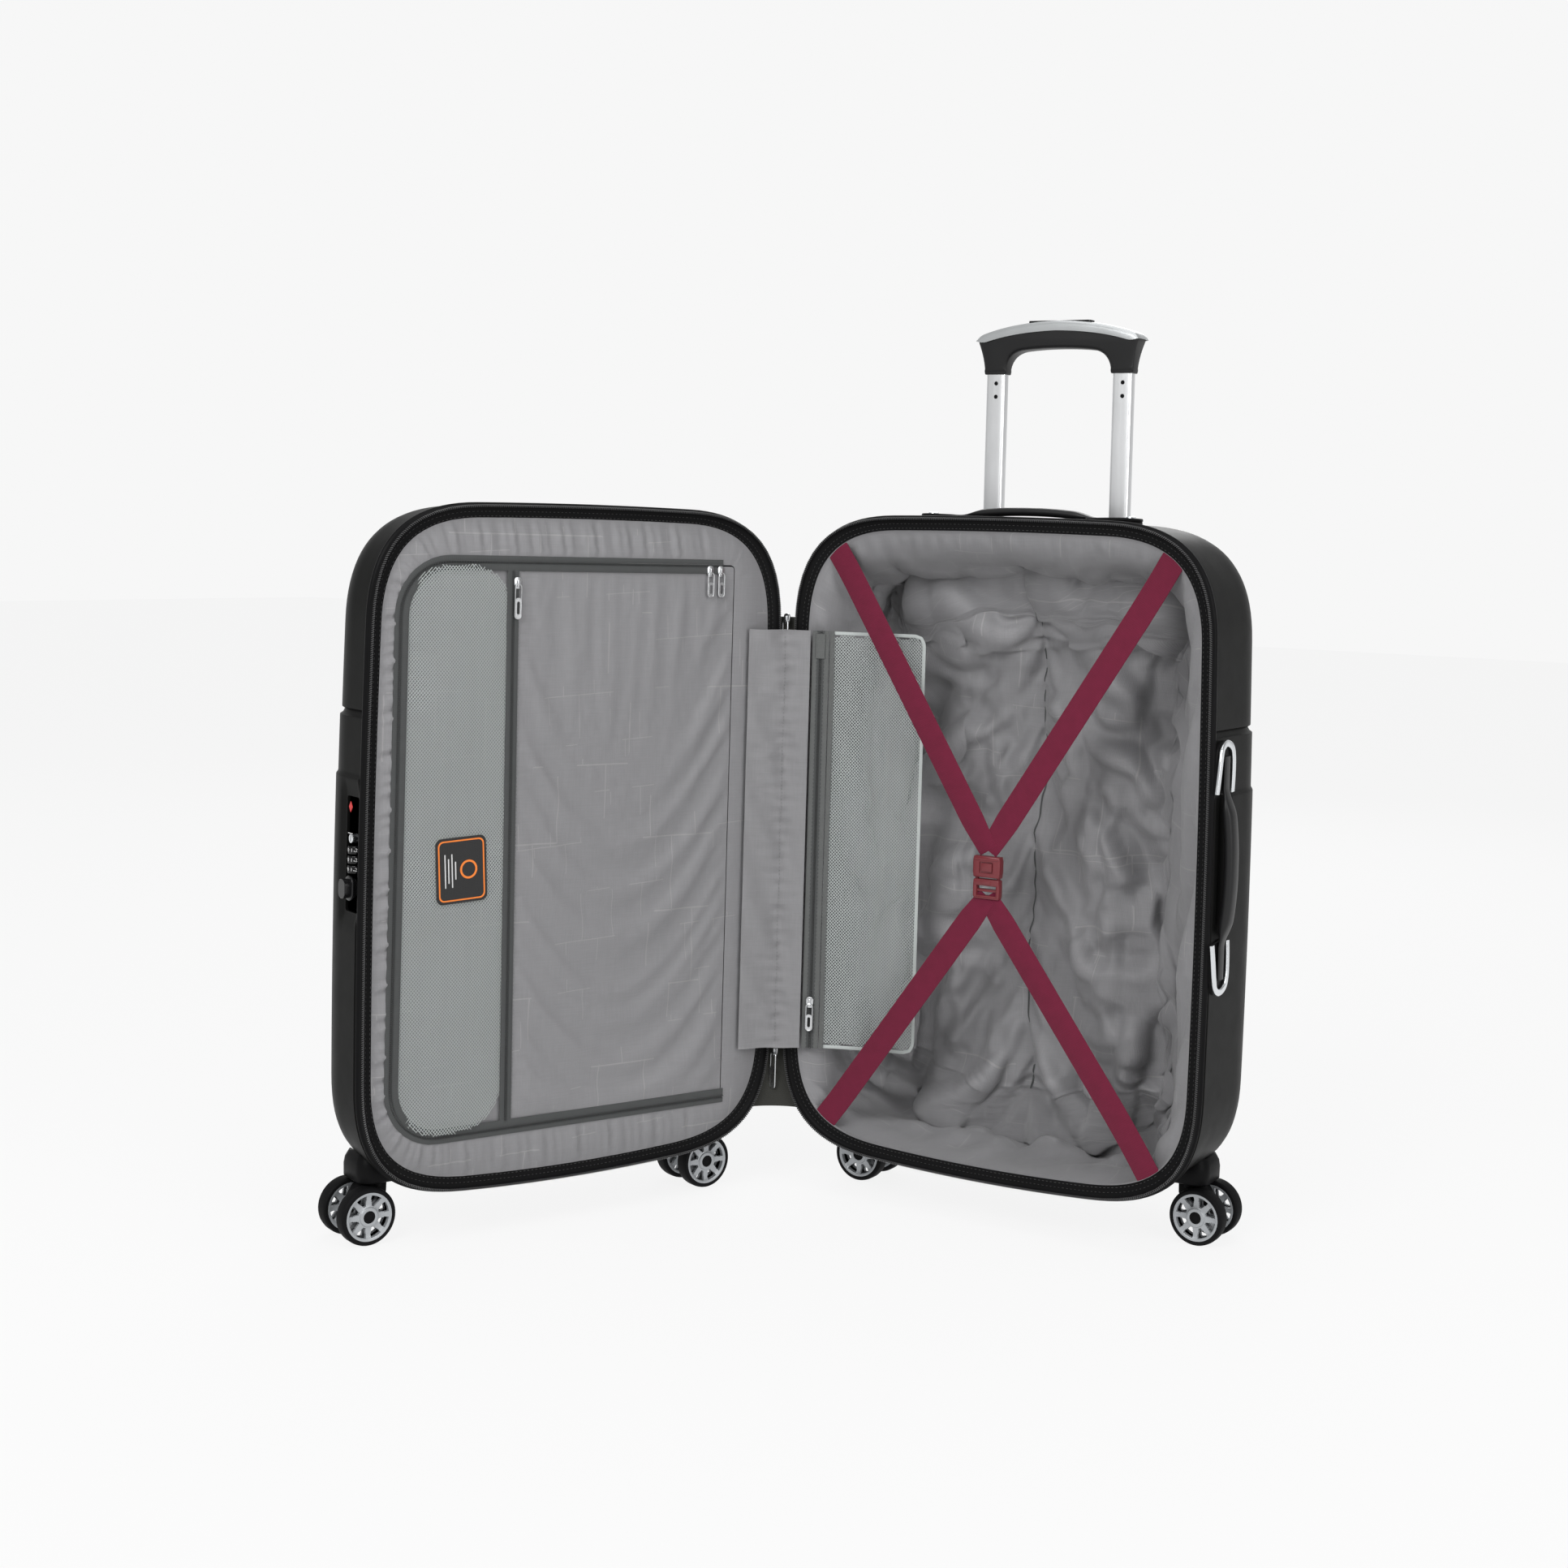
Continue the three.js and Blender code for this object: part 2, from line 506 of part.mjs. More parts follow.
addPart(lid, 'lid_shell', slideOver(shellSolid(LID_DEPTH, LID_ROUND)).subtract(lockBlock(FIT)), SHELL);
addPart(lid, 'lid_rim', slideOver(ringPlate(0, RIM_BAND, RIM_FRONT, RIM_BACK)), BLACK);

function liningWithBorder() {
  const border = slideOver(plate(caseOutline(LINING_INSET + 1), DOOR.y0, DOOR.y1));
  const opening = plate(roundedRect(DOOR.outer - GAP, DOOR.inner + GAP, DOOR.bottom - GAP, DOOR.top + GAP, 50), 0, 10);
  return joinAll(slideOver(liningTray(2, 99, 50)), border.subtract(opening));
}
addPart(lid, 'lid_lining', liningWithBorder(), SATIN);

const doorPlate = plate(roundedRect(DOOR.outer, DOOR.inner, DOOR.bottom, DOOR.top, 50), DOOR.y0, DOOR.y1);
const meshHole = grow => plate(roundedRect(MESH.outer - grow, MESH.inner + grow, MESH.bottom - grow, MESH.top + grow, 36),
  DOOR.y0 - 1, DOOR.y1 + 1);
addPart(lid, 'divider_door', doorPlate.subtract(meshHole(0)), SATIN);
addPart(lid, 'divider_mesh',
  plate(roundedRect(MESH.outer + GAP, MESH.inner - GAP, MESH.bottom + GAP, MESH.top - GAP, 36), DOOR.y0, DOOR.y1), MESH_GREY);
[['upper', 79], ['lower', 91]].forEach(([name, x]) => {
  addPart(lid, `divider_slider_${name}`, sliderSolid(3, 20).translate([-x, DOOR.y0 - 0.8, 603]), SILVER);
});
addPart(lid, 'divider_pocket_slider',
  sliderSolid(3.6, 28).translate([MESH.inner + 4, DOOR.y0 - 0.8, 590]), SILVER);

// ---------- combination lock ----------
const DIAL = { r: 6.5, high: 7, pitch: 8.5, x: LOCK.x + 3.6, y: 25, z: 346 };
const KEY_Z = 364.5;
const dialHeights = [1, 0, -1].map(step => DIAL.z + step * DIAL.pitch);

function lockHousing() {
  const skin = slideOver(caseBody(-2.4, 0, LID_DEPTH, LID_ROUND));
  const block = lockBlock(0).intersect(skin);
  const reach = DIAL.r + 0.5;
  const slots = dialHeights.map(z => box(LOCK.x - 20, DIAL.x + reach, DIAL.y - reach, DIAL.y + reach,
    z - DIAL.high / 2 - GAP, z + DIAL.high / 2 + GAP));
  const pin = rod('z', 1.6, 28, DIAL.x, DIAL.y, DIAL.z, 10);
  const pulls = [384, 375].map(z => box(LOCK.x - 20, LOCK.x + 6, DIAL.y - 5, DIAL.y + 5, z - 2, z + 2));
  const keyhole = rod('x', 4.4, 30, LOCK.x - 10, DIAL.y, KEY_Z, 14);
  const release = box(LOCK.x - 20, LOCK.x + 5, DIAL.y - 7, DIAL.y + 7, 309, 329);
  return joinAll(cutAll(block, ...slots, ...pulls, keyhole, release), pin);
}
addPart(lid, 'lock_housing', lockHousing(), BLACK);
dialHeights.forEach((z, index) => {
  const dial = rod('z', DIAL.r, DIAL.high, DIAL.x, DIAL.y, z, 20).subtract(rod('z', 2, 20, DIAL.x, DIAL.y, z, 10));
  addPart(lid, `lock_dial_${index + 1}`, dial, BLACK);
});
addPart(lid, 'lock_key_cylinder', rod('x', 4, 5, LOCK.x + 2.3, DIAL.y, KEY_Z, 14), SILVER);
addPart(lid, 'lock_release', box(LOCK.x - 1.2, LOCK.x + 4.6, DIAL.y - 6.5, DIAL.y + 6.5, 313.4, 328.6), BLACK);

// the lid's casters stand at the same places as the base's, mirrored
const lidCasters = new THREE.Group();
lid.add(lidCasters);
lidCasters.position.x = -2 * MID_X;
const lidCase = caseBody(-FIT, -10, LID_DEPTH, LID_ROUND);
addCaster(lidCasters, 'lid_inner', MID_X + CASTER_X, LID_CASTER_Y, -1, lidCase);
addCaster(lidCasters, 'lid_outer', MID_X - CASTER_X, LID_CASTER_Y, -1, lidCase);
lid.rotation.z = lidTurn;

// ---------- whole case, its origin on the floor under the middle of its box ----------
const suitcase = new THREE.Group();
suitcase.add(base, lid);
suitcase.updateMatrixWorld(true);
const extent = new THREE.Box3().setFromObject(suitcase, true);
suitcase.position.set(-(extent.min.x + extent.max.x) / 2, -(extent.min.y + extent.max.y) / 2, -extent.min.z);
export default suitcase;
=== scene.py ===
"""Looks of an open hard shell suitcase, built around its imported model.

Pieces are drawn in millimetres in one half's own frame: x away from the hinge, y (depth) behind the
opening, z up. The lid's pieces are mirrored and turned about the hinge when they are placed.
"""
import json
import math

import bmesh
import bpy
import numpy as np
from mathutils import Matrix, Vector, noise


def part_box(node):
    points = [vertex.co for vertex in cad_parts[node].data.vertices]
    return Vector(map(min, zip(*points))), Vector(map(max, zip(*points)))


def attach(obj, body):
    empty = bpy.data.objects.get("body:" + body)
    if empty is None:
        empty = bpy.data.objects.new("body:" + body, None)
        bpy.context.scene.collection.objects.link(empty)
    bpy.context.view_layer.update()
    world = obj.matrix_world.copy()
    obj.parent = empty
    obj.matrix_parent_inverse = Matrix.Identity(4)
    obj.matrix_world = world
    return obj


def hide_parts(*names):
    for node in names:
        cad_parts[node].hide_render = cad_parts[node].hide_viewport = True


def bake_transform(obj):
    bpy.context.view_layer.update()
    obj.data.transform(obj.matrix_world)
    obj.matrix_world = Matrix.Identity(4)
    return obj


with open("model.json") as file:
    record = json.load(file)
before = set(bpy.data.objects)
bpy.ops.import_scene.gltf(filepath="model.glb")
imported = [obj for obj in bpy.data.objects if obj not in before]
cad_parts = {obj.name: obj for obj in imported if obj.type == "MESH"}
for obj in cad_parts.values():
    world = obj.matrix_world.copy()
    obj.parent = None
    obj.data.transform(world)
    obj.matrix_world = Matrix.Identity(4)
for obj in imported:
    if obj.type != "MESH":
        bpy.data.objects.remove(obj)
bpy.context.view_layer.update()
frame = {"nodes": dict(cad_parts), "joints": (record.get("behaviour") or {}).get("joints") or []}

# ---------- the case's own dimensions, in millimetres ----------
WIDTH, HEIGHT, FLOOR_GAP = 438, 622, 40
DEPTH = {"base": 165, "lid": 105}
HINGE_GAP = 4.5
CORNER, SIDE_BULGE, TOP_BULGE = 106, 2, 1.3
BACK_ROUND = {"base": 75, "lid": 60}
MID_X, MID_Z = HINGE_GAP + WIDTH / 2, FLOOR_GAP + HEIGHT / 2
TOP_Z = FLOOR_GAP + HEIGHT
GROOVE_Z, STEP_Z = 474, 419
TUBE_Y, TUBE_X = 129, 67.5
CUP = {"half": 104, "front": 113.6, "back": 143.6, "bottom": 600}     # the housing round the pull handle's top
TUBES = {"inner": MID_X - TUBE_X, "outer": MID_X + TUBE_X}
LOCK_PLATE, LOCK_Y = (13.2, 36.8, 300.2, 400.8), 25                   # front, rear, low and high
DIAL_Z, DIAL_R = (354.5, 346.0, 337.5), 6.5

JOINTS = {j["name"]: j for j in frame["joints"]}
hinge_at = JOINTS["lid_hinge"]["pos_m"]
LID_TURN = -math.radians(JOINTS["lid_hinge"]["range_deg"][0])
HINGE = Matrix.Translation((hinge_at[0], hinge_at[1], 0))
PLACE = {"base": HINGE, "lid": HINGE @ Matrix.Rotation(LID_TURN, 4, "Z")}

# ---------- camera ----------
SIDEWAYS, BACK, EYE = 0.04609, 2.24525, 0.64429     # from the hinge, seen along the camera's heading
HEADING, PITCH, ROLL = 0.5353, 0.03, 0.0288
camera = bpy.data.objects.new("camera", bpy.data.cameras.new("camera"))
bpy.context.scene.collection.objects.link(camera)
bpy.context.scene.camera = camera
bpy.context.scene.view_settings.view_transform = "Standard"
camera.data.sensor_width = 36
camera.data.lens = 52.787
camera.data.shift_x, camera.data.shift_y = -0.03289, -0.11671
heading = Matrix.Rotation(HEADING, 3, "Z")
eye = heading @ Vector((SIDEWAYS, -BACK, 0)) + Vector((hinge_at[0], hinge_at[1], EYE))
forward = heading @ Vector((0, math.cos(PITCH), -math.sin(PITCH)))
level_up = heading @ Vector((0, math.sin(PITCH), math.cos(PITCH)))
level_right = forward.cross(level_up)
right = level_right * math.cos(ROLL) + level_up * math.sin(ROLL)
up = level_up * math.cos(ROLL) - level_right * math.sin(ROLL)
camera.matrix_world = Matrix.Translation(eye) @ Matrix((right, up, -forward)).transposed().to_4x4()


# ---------- materials ----------
class Look:
    """A material on one Principled shader, with the nodes that feed it."""

    def __init__(self, name, colour, roughness, metallic=0.0, **sockets):
        self.material = bpy.data.materials.new(name)
        self.material.use_nodes = True
        self.tree = self.material.node_tree
        self.shader = self.tree.nodes["Principled BSDF"]
        self.colour = (*colour, 1)
        self.fill(self.shader, {"Base Color": self.colour, "Roughness": roughness, "Metallic": metallic, **sockets})

    def fill(self, node, values):
        for key, value in values.items():
            if isinstance(value, bpy.types.NodeSocket):
                self.tree.links.new(value, node.inputs[key])
            else:
                node.inputs[key].default_value = value

    def add(self, kind, values=None, out=0, **settings):
        node = self.tree.nodes.new("ShaderNode" + kind)
        for key, value in settings.items():
            setattr(node, key, value)
        self.fill(node, values or {})
        return node.outputs[out]

    def math(self, operation, a, b=0.0, c=0.0):
        return self.add("Math", {0: a, 1: b, 2: c}, operation=operation)

    def where(self, flat=False):
        return self.add("TexCoord", out="UV" if flat else "Object")

    def scaled(self, vector, x, y, z=1.0, turn=0.0):
        return self.add("Mapping", {"Vector": vector, "Scale": (x, y, z), "Rotation": (0, 0, turn)})

    def noise(self, vector, scale, detail=3.0, roughness=0.5):
        return self.add("TexNoise", {"Vector": vector, "Scale": scale, "Detail": detail, "Roughness": roughness},
                        out="Fac")

    def paint(self, amount, under, over):
        """The colour under, going over to the other as amount goes from 0 to 1."""
        mixed = self.add("Mix", {0: amount, 6: under, 7: over}, out=2, data_type="RGBA")
        self.fill(self.shader, {"Base Color": mixed})
        return mixed

    def tint(self, amount, dark, light):
        """The base colour, darker and lighter as amount goes from 0 to 1."""
        return self.paint(amount, *(tuple(min(1, c * k) for c in self.colour[:3]) + (1,) for k in (dark, light)))

    def vary(self, amount, low, high):
        spread = self.add("MapRange", {"Value": amount, "To Min": low, "To Max": high})
        self.fill(self.shader, {"Roughness": spread})

    def bump(self, height, distance, strength=1.0):
        normal = self.add("Bump", {"Height": height, "Distance": distance, "Strength": strength})
        self.fill(self.shader, {"Normal": normal})
        return self

    def waves(self, vector, pitch, across):
        """Bands from 0 to 1 with that pitch, across x, y or z."""
        part = self.add("SeparateXYZ", {"Vector": vector}, out=across)
        return self.math("MULTIPLY_ADD", self.math("SINE", self.math("MULTIPLY", part, 2 * math.pi / pitch)), 0.5, 0.5)


def moulded(name, colour, roughness, grain=0.0004, depth=0.00004, metallic=0.0, **sockets):
    """Plastic or rubber with a fine moulded grain."""
    look = Look(name, colour, roughness, metallic, **sockets)
    place = look.where()
    fine = look.noise(place, 1 / grain, 2)
    broad = look.noise(place, 14, 4)
    look.tint(broad, 0.85, 1.15)
    look.vary(look.noise(place, 60, 5), roughness * 0.88, min(1, roughness * 1.12))
    return look.bump(fine, depth).material


def satin(name, colour, print_strength):
    """Lining cloth: fine crossed threads, soft creases, and a faint line print."""
    look = Look(name, colour, 0.43, **{"Sheen Weight": 0.2, "Sheen Roughness": 0.4, "Specular IOR Level": 0.75})
    flat = look.where(flat=True)
    threads = look.math("MULTIPLY", look.waves(flat, 0.0007, 0), look.waves(flat, 0.0005, 1))
    slub = look.noise(look.scaled(flat, 40, 900), 1.0, 2)
    weft = look.noise(look.scaled(flat, 900, 40), 1.0, 2)
    base = look.tint(look.math("MULTIPLY_ADD", look.math("ADD", slub, weft), 0.5, 0.0), 0.82, 1.2)
    lines = []
    for scale, turn, seed in ((11, 0.0, 0.31), (17, 0.05, 0.77)):
        cell = look.add("TexBrick", {
            "Vector": look.scaled(flat, scale, scale * 0.8, 1, turn), "Color1": (0, 0, 0, 1),
            "Color2": (1, 1, 1, 1), "Mortar": (0.5, 0.5, 0.5, 1), "Mortar Size": 0.006, "Mortar Smooth": 0.0,
            "Bias": seed - 0.5, "Brick Width": 0.55, "Row Height": 0.62, "Scale": 1.0}, out="Fac")
        patch = look.math("GREATER_THAN", look.noise(look.scaled(flat, 9, 9), 1 + seed, 1), 0.53 + seed * 0.05)
        lines.append(look.math("MULTIPLY", cell, patch))
    look.paint(look.math("MULTIPLY", look.math("MAXIMUM", *lines), print_strength), base, (0.42, 0.41, 0.4, 1))
    creases = look.noise(look.scaled(flat, 26, 14), 1.0, 6, 0.62)
    broad = look.noise(look.scaled(flat, 9, 6), 1.0, 3, 0.5)
    heights = look.math("MULTIPLY_ADD", broad, 22.0, look.math("MULTIPLY_ADD", creases, 7.0, threads))
    look.bump(heights, 0.0004, 0.6)
    return look.material


def woven(name, colour, pitch, roughness=0.8, dark=0.7, light=1.2, depth=0.0002, **sockets):
    """Tape or webbing: rows of small raised stitches in the cloth's own coordinates, with painted shade in their
    hollows.
    """
    look = Look(name, colour, roughness, **{"Sheen Weight": 0.12, **sockets})
    flat = look.where(flat=True)
    slant = look.add("VectorRotate", {"Vector": flat, "Angle": 0.7}, rotation_type="Z_AXIS")
    cells = look.math("MULTIPLY", look.waves(slant, pitch, 0), look.waves(slant, pitch, 1))
    rows = look.waves(flat, pitch * 1.6, 1)
    height = look.math("ADD", look.math("MULTIPLY", cells, 0.6), look.math("MULTIPLY", rows, 0.4))
    broad = look.noise(flat, 90, 3)
    # the colour darkens where the stitch height is low: painted shade in the weave's hollows, over a broad random tone
    look.tint(look.math("MULTIPLY_ADD", broad, 0.5, look.math("MULTIPLY", height, 0.5)), dark, light)
    return look.bump(height, depth).material


def brushed(name, colour, roughness, along=(1, 1, 0.02), metallic=1.0):
    look = Look(name, colour, roughness, metallic)
    place = look.where()
    streaks = look.noise(look.add("Mapping", {"Vector": place, "Scale": along}), 1800, 2)
    look.tint(look.noise(place, 30, 3), 0.93, 1.05)
    look.vary(streaks, roughness * 0.8, roughness * 1.25)
    return look.bump(streaks, 0.00001).material


DULL = {"Specular IOR Level": 0.045}
SHELL = moulded("shell_charcoal", (0.0062, 0.0063, 0.006), 0.42, 0.0011, 0.00006, **DULL)
TRIM = moulded("black_trim", (0.007, 0.007, 0.0073), 0.4, 0.0008, 0.00003, **DULL)
GLOSS = moulded("black_gloss", (0.006, 0.006, 0.0065), 0.2, 0.002, 0.00001, **{"Specular IOR Level": 0.35})
RUBBER = moulded("wheel_rubber", (0.008, 0.008, 0.0085), 0.6, 0.0006, 0.00005, **DULL)
GRIP = moulded("black_grip", (0.008, 0.008, 0.0085), 0.42, 0.0005, 0.00004, **{"Specular IOR Level": 0.3})
RED = moulded("red_plastic", (0.15, 0.018, 0.024), 0.36, 0.0006, 0.00002)
HUB = moulded("hub_silver", (0.36, 0.375, 0.39), 0.4, 0.0005, 0.00001, 0.3)
COVER = moulded("grip_cover_silver", (0.46, 0.475, 0.48), 0.3, 0.0004, 0.00001, 0.6)
CHROME = brushed("satin_chrome", (0.72, 0.74, 0.76), 0.24, (1, 1, 0.3))
ALUMINIUM = brushed("brushed_aluminium", (0.86, 0.87, 0.88), 0.34)
SATIN = satin("grey_satin", (0.208, 0.206, 0.214), 0.26)
SATIN_PLAIN = satin("grey_satin_plain", (0.2, 0.198, 0.205), 0.05)
TAPE = woven("grey_tape", (0.052, 0.055, 0.055), 0.0012)
BINDING = woven("grey_binding", (0.1, 0.104, 0.102), 0.0009)
BLACK_TAPE = woven("black_tape", (0.01, 0.01, 0.0105), 0.0011, 0.7)
BLACK_CLOTH = woven("black_cloth", (0.017, 0.017, 0.013), 0.0013, 0.8)
WEBBING = woven("burgundy_webbing", (0.135, 0.008, 0.03), 0.0011, 0.8, 0.72, 1.25, **{"Specular IOR Level": 0.2})
NET_CLOTH = woven("grey_net", (0.4, 0.43, 0.42), 0.0008, 0.7, 0.85, 1.15, 0.00005)
COIL = moulded("zip_coil_black", (0.05, 0.05, 0.051), 0.35, 0.0006, 0.00001)
COIL_GREY = moulded("zip_coil_grey", (0.035, 0.037, 0.037), 0.42, 0.0006, 0.00001)
ZIP_METAL = brushed("zip_metal", (0.62, 0.63, 0.64), 0.28, (1, 1, 1))
THREAD = woven("thread_grey", (0.16, 0.165, 0.165), 0.0006)
BLACK_THREAD = woven("thread_black", (0.03, 0.03, 0.03), 0.0006)
WHITE_INK = moulded("white_ink", (0.6, 0.6, 0.6), 0.6, 0.001, 0.00001)
RED_INK = moulded("red_ink", (0.55, 0.02, 0.02), 0.5, 0.001, 0.00001)
ORANGE_INK = moulded("orange_ink", (0.75, 0.19, 0.02), 0.6, 0.001, 0.00001)


# ---------- shapes ----------
def sheet_faces(rows, columns, wrap_rows=False, wrap_columns=False, start=0):
    i = np.arange(rows if wrap_rows else rows - 1)
    j = np.arange(columns if wrap_columns else columns - 1)
    i, j = np.meshgrid(i, j, indexing="ij")
    i2, j2 = (i + 1) % rows, (j + 1) % columns
    quads = np.stack([i * columns + j, i * columns + j2, i2 * columns + j2, i2 * columns + j], -1)
    return (quads.reshape(-1, 4) + start).tolist()


class Shape:
    """Points in millimetres with faces, cloth coordinates and a look for each face, gathered into one piece."""

    def __init__(self):
        self.points, self.faces, self.flat, self.looks, self.count = [], [], [], [], 0

    def add(self, points, faces, look=0, flat=None):
        points = np.asarray(points, float).reshape(-1, 3)
        self.faces += [tuple(i + self.count for i in face) for face in faces]
        self.looks += [look] * len(faces)
        self.points.append(points)
        self.flat.append(np.asarray(flat, float).reshape(-1, 2) if flat is not None else points[:, [0, 2]])
        self.count += len(points)
        return self

    def loft(self, loops, look=0, closed=False, flat=None):
        """Loops of points joined in order, with their ends filled unless closed."""
        loops = np.asarray(loops, float)
        rows, columns = loops.shape[:2]
        faces = sheet_faces(rows, columns, closed, True)
        if not closed:
            faces += [tuple(range(columns)), tuple(range((rows - 1) * columns, rows * columns))]
        return self.add(loops, faces, look, flat)

    def all_points(self):
        return np.concatenate(self.points)


AXES = {"x": (1, 2, 0), "y": (0, 2, 1), "z": (0, 1, 2)}


def lay(points, axis):
    """Points (a, b, along axis) as x, y, z."""
    points = np.asarray(points, float)
    out = np.empty_like(points)
    out[..., list(AXES[axis])] = points
    return out


def at_level(loop, level, axis="y"):
    """An outline's points, standing at that level along the axis."""
    return lay(np.column_stack([loop, np.broadcast_to(np.asarray(level, float), len(loop))]), axis)


def run_along(path):
    """The length along a path at each of its points."""
    return np.concatenate([[0], np.cumsum(np.linalg.norm(np.diff(path, axis=0), axis=1))])


def offset(loop, inward):
    """A closed outline moved inwards along its corners' normals."""
    before, after = np.roll(loop, 1, 0), np.roll(loop, -1, 0)
    way = after - before
    normal = np.stack([-way[:, 1], way[:, 0]], 1) / (np.linalg.norm(way, axis=1)[:, None] + 1e-9)
    area = np.sum(loop[:, 0] * after[:, 1] - after[:, 0] * loop[:, 1])
    return loop + normal * inward * np.sign(area)


def slab_loops(loop, low, high, soft=0.0, steps=3, axis="y"):
    """An outline given thickness, its edges rounded by soft."""
    loop = np.asarray(loop, float)
    turns = [math.pi / 2 * k / steps for k in range(steps + 1)] if soft else [math.pi / 2]
    ends = [(soft * (1 - math.sin(t)), soft * (1 - math.cos(t))) for t in turns]
    rows = [(inset, low + rise) for inset, rise in ends] + [(inset, high - rise) for inset, rise in reversed(ends)]
    return np.array([at_level(offset(loop, inset), level, axis) for inset, level in rows])


def ring_loops(outer, inner, low, high, axis="z"):
    """The four loops of a ring between two outlines, from low to high."""
    levels = ((outer, low), (outer, high), (inner, high), (inner, low))
    return [at_level(loop, level, axis) for loop, level in levels]


def round_rect(a0, a1, b0, b1, r, steps=4):
    corners = [(a1 - r, b0 + r, -90), (a1 - r, b1 - r, 0), (a0 + r, b1 - r, 90), (a0 + r, b0 + r, 180)]
    return np.array([(a + r * math.cos(math.radians(start + 90 * k / steps)),
                      b + r * math.sin(math.radians(start + 90 * k / steps)))
                     for a, b, start in corners for k in range(steps + 1)])


def centred(a, b, half_a, half_b, r, steps):
    """A rounded rectangle about its middle."""
    return round_rect(a - half_a, a + half_a, b - half_b, b + half_b, r, steps)


def circle(a, b, r, sides):
    turn = np.arange(sides) * 2 * math.pi / sides
    return np.column_stack([a + r * np.cos(turn), b + r * np.sin(turn)])


def block(shape, x0, x1, y0, y1, z0, z1, soft, look=0, axis="y"):
    """A box with rounded edges."""
    spans = {"x": (y0, y1, z0, z1, x0, x1), "y": (x0, x1, z0, z1, y0, y1), "z": (x0, x1, y0, y1, z0, z1)}
    a0, a1, b0, b1, low, high = spans[axis]
    loop = round_rect(a0, a1, b0, b1, soft * 1.2 + 0.01, 2)
    return shape.loft(slab_loops(loop, low, high, soft, 2, axis), look)


def rod(shape, axis, radius, low, high, a, b, soft, sides):
    return shape.loft(slab_loops(circle(a, b, radius, sides), low, high, soft, 2, axis))


def spline(points, steps):
    """A smooth curve through the given points (Catmull-Rom), steps points to each span."""
    points = np.asarray(points, float)
    padded = np.vstack([2 * points[0] - points[1], points, 2 * points[-1] - points[-2]])
    out = []
    for k in range(len(points) - 1):
        p0, p1, p2, p3 = padded[k:k + 4]
        for t in np.arange(steps) / steps:
            out.append(0.5 * (2 * p1 + (p2 - p0) * t + (2 * p0 - 5 * p1 + 4 * p2 - p3) * t * t
                              + (3 * p1 - p0 - 3 * p2 + p3) * t ** 3))
    out.append(points[-1])
    return np.array(out)


def evenly(path, step, closed=False):
    """The same path in equal steps, and its length along each point."""
    path = np.asarray(path, float)
    if closed:
        path = np.vstack([path, path[:1]])
    run = run_along(path)
    count = max(2, int(round(run[-1] / step)))
    at = np.linspace(0, run[-1], count + 1)
    if closed:
        at = at[:-1]
    return np.stack([np.interp(at, run, path[:, k]) for k in range(path.shape[1])], 1), at


def directions(path, closed=False):
    way = (np.roll(path, -1, 0) - np.roll(path, 1, 0)) if closed else np.gradient(path, axis=0)
    return way / (np.linalg.norm(way, axis=1)[:, None] + 1e-12)


def sweep(shape, path, side, section, closed=False):
    """A section (across, out) carried along a path. side gives, for each point, the across direction."""
    way = directions(path, closed)
    side = np.broadcast_to(np.asarray(side, float), path.shape)
    side = side - way * np.sum(side * way, 1)[:, None]
    side = side / (np.linalg.norm(side, axis=1)[:, None] + 1e-12)
    out = np.cross(side, way)
    section = np.asarray(section, float)
    loops = path[:, None] + side[:, None] * section[None, :, :1] + out[:, None] * section[None, :, 1:]
    flat = np.stack([np.broadcast_to(section[None, :, 0], loops.shape[:2]),
                     np.broadcast_to(run_along(path)[:, None], loops.shape[:2])], -1)
    return shape.loft(loops, closed=closed, flat=flat)


def strip_section(width, thick, soft=0.3):
    return centred(0, 0, width / 2, thick / 2, min(soft, thick * 0.49), 2)


def coil(shape, path, side, radius, pitch, thread, flatten=1.0):
    """A zip's coil: a thread wound round the path, in eight steps to a turn."""
    run = run_along(path)
    at = np.linspace(0, run[-1], int(run[-1] / pitch * 8))
    centre, u, w = (np.stack([np.interp(at, run, values[:, k]) for k in range(3)], 1)
                    for values in (path, np.broadcast_to(side, path.shape), directions(path)))
    v = np.cross(u, w)
    turn = 2 * math.pi * at / pitch
    line = centre + (u * np.cos(turn)[:, None] + v * np.sin(turn)[:, None] * flatten) * radius
    out = u * np.cos(turn)[:, None] + v * np.sin(turn)[:, None]
    loops = np.stack([line + out * thread, line + w * thread * 1.2, line - out * thread, line - w * thread * 1.2], 1)
    return shape.loft(loops)


def stitches(shape, path, out, length, gap, thick):
    """Dashes of thread lying along a path."""
    path, run = evenly(path, 0.5)
    way = directions(path)
    out = np.asarray(out, float)
    for start in np.arange(gap, run[-1] - length, length + gap):
        a, b = np.searchsorted(run, [start, start + length])
        p, q, w = path[a], path[b - 1], way[a]
        side = np.cross(w, out)
        loops = [[c + side * s * thick * k + out * o * thick * k for s, o in ((1, 0), (0, 1), (-1, 0), (0, -1))]
                 for c, k in ((p, 0.4), (p * 0.75 + q * 0.25, 1), (p * 0.25 + q * 0.75, 1), (q, 0.4))]
        shape.loft(loops)
    return shape


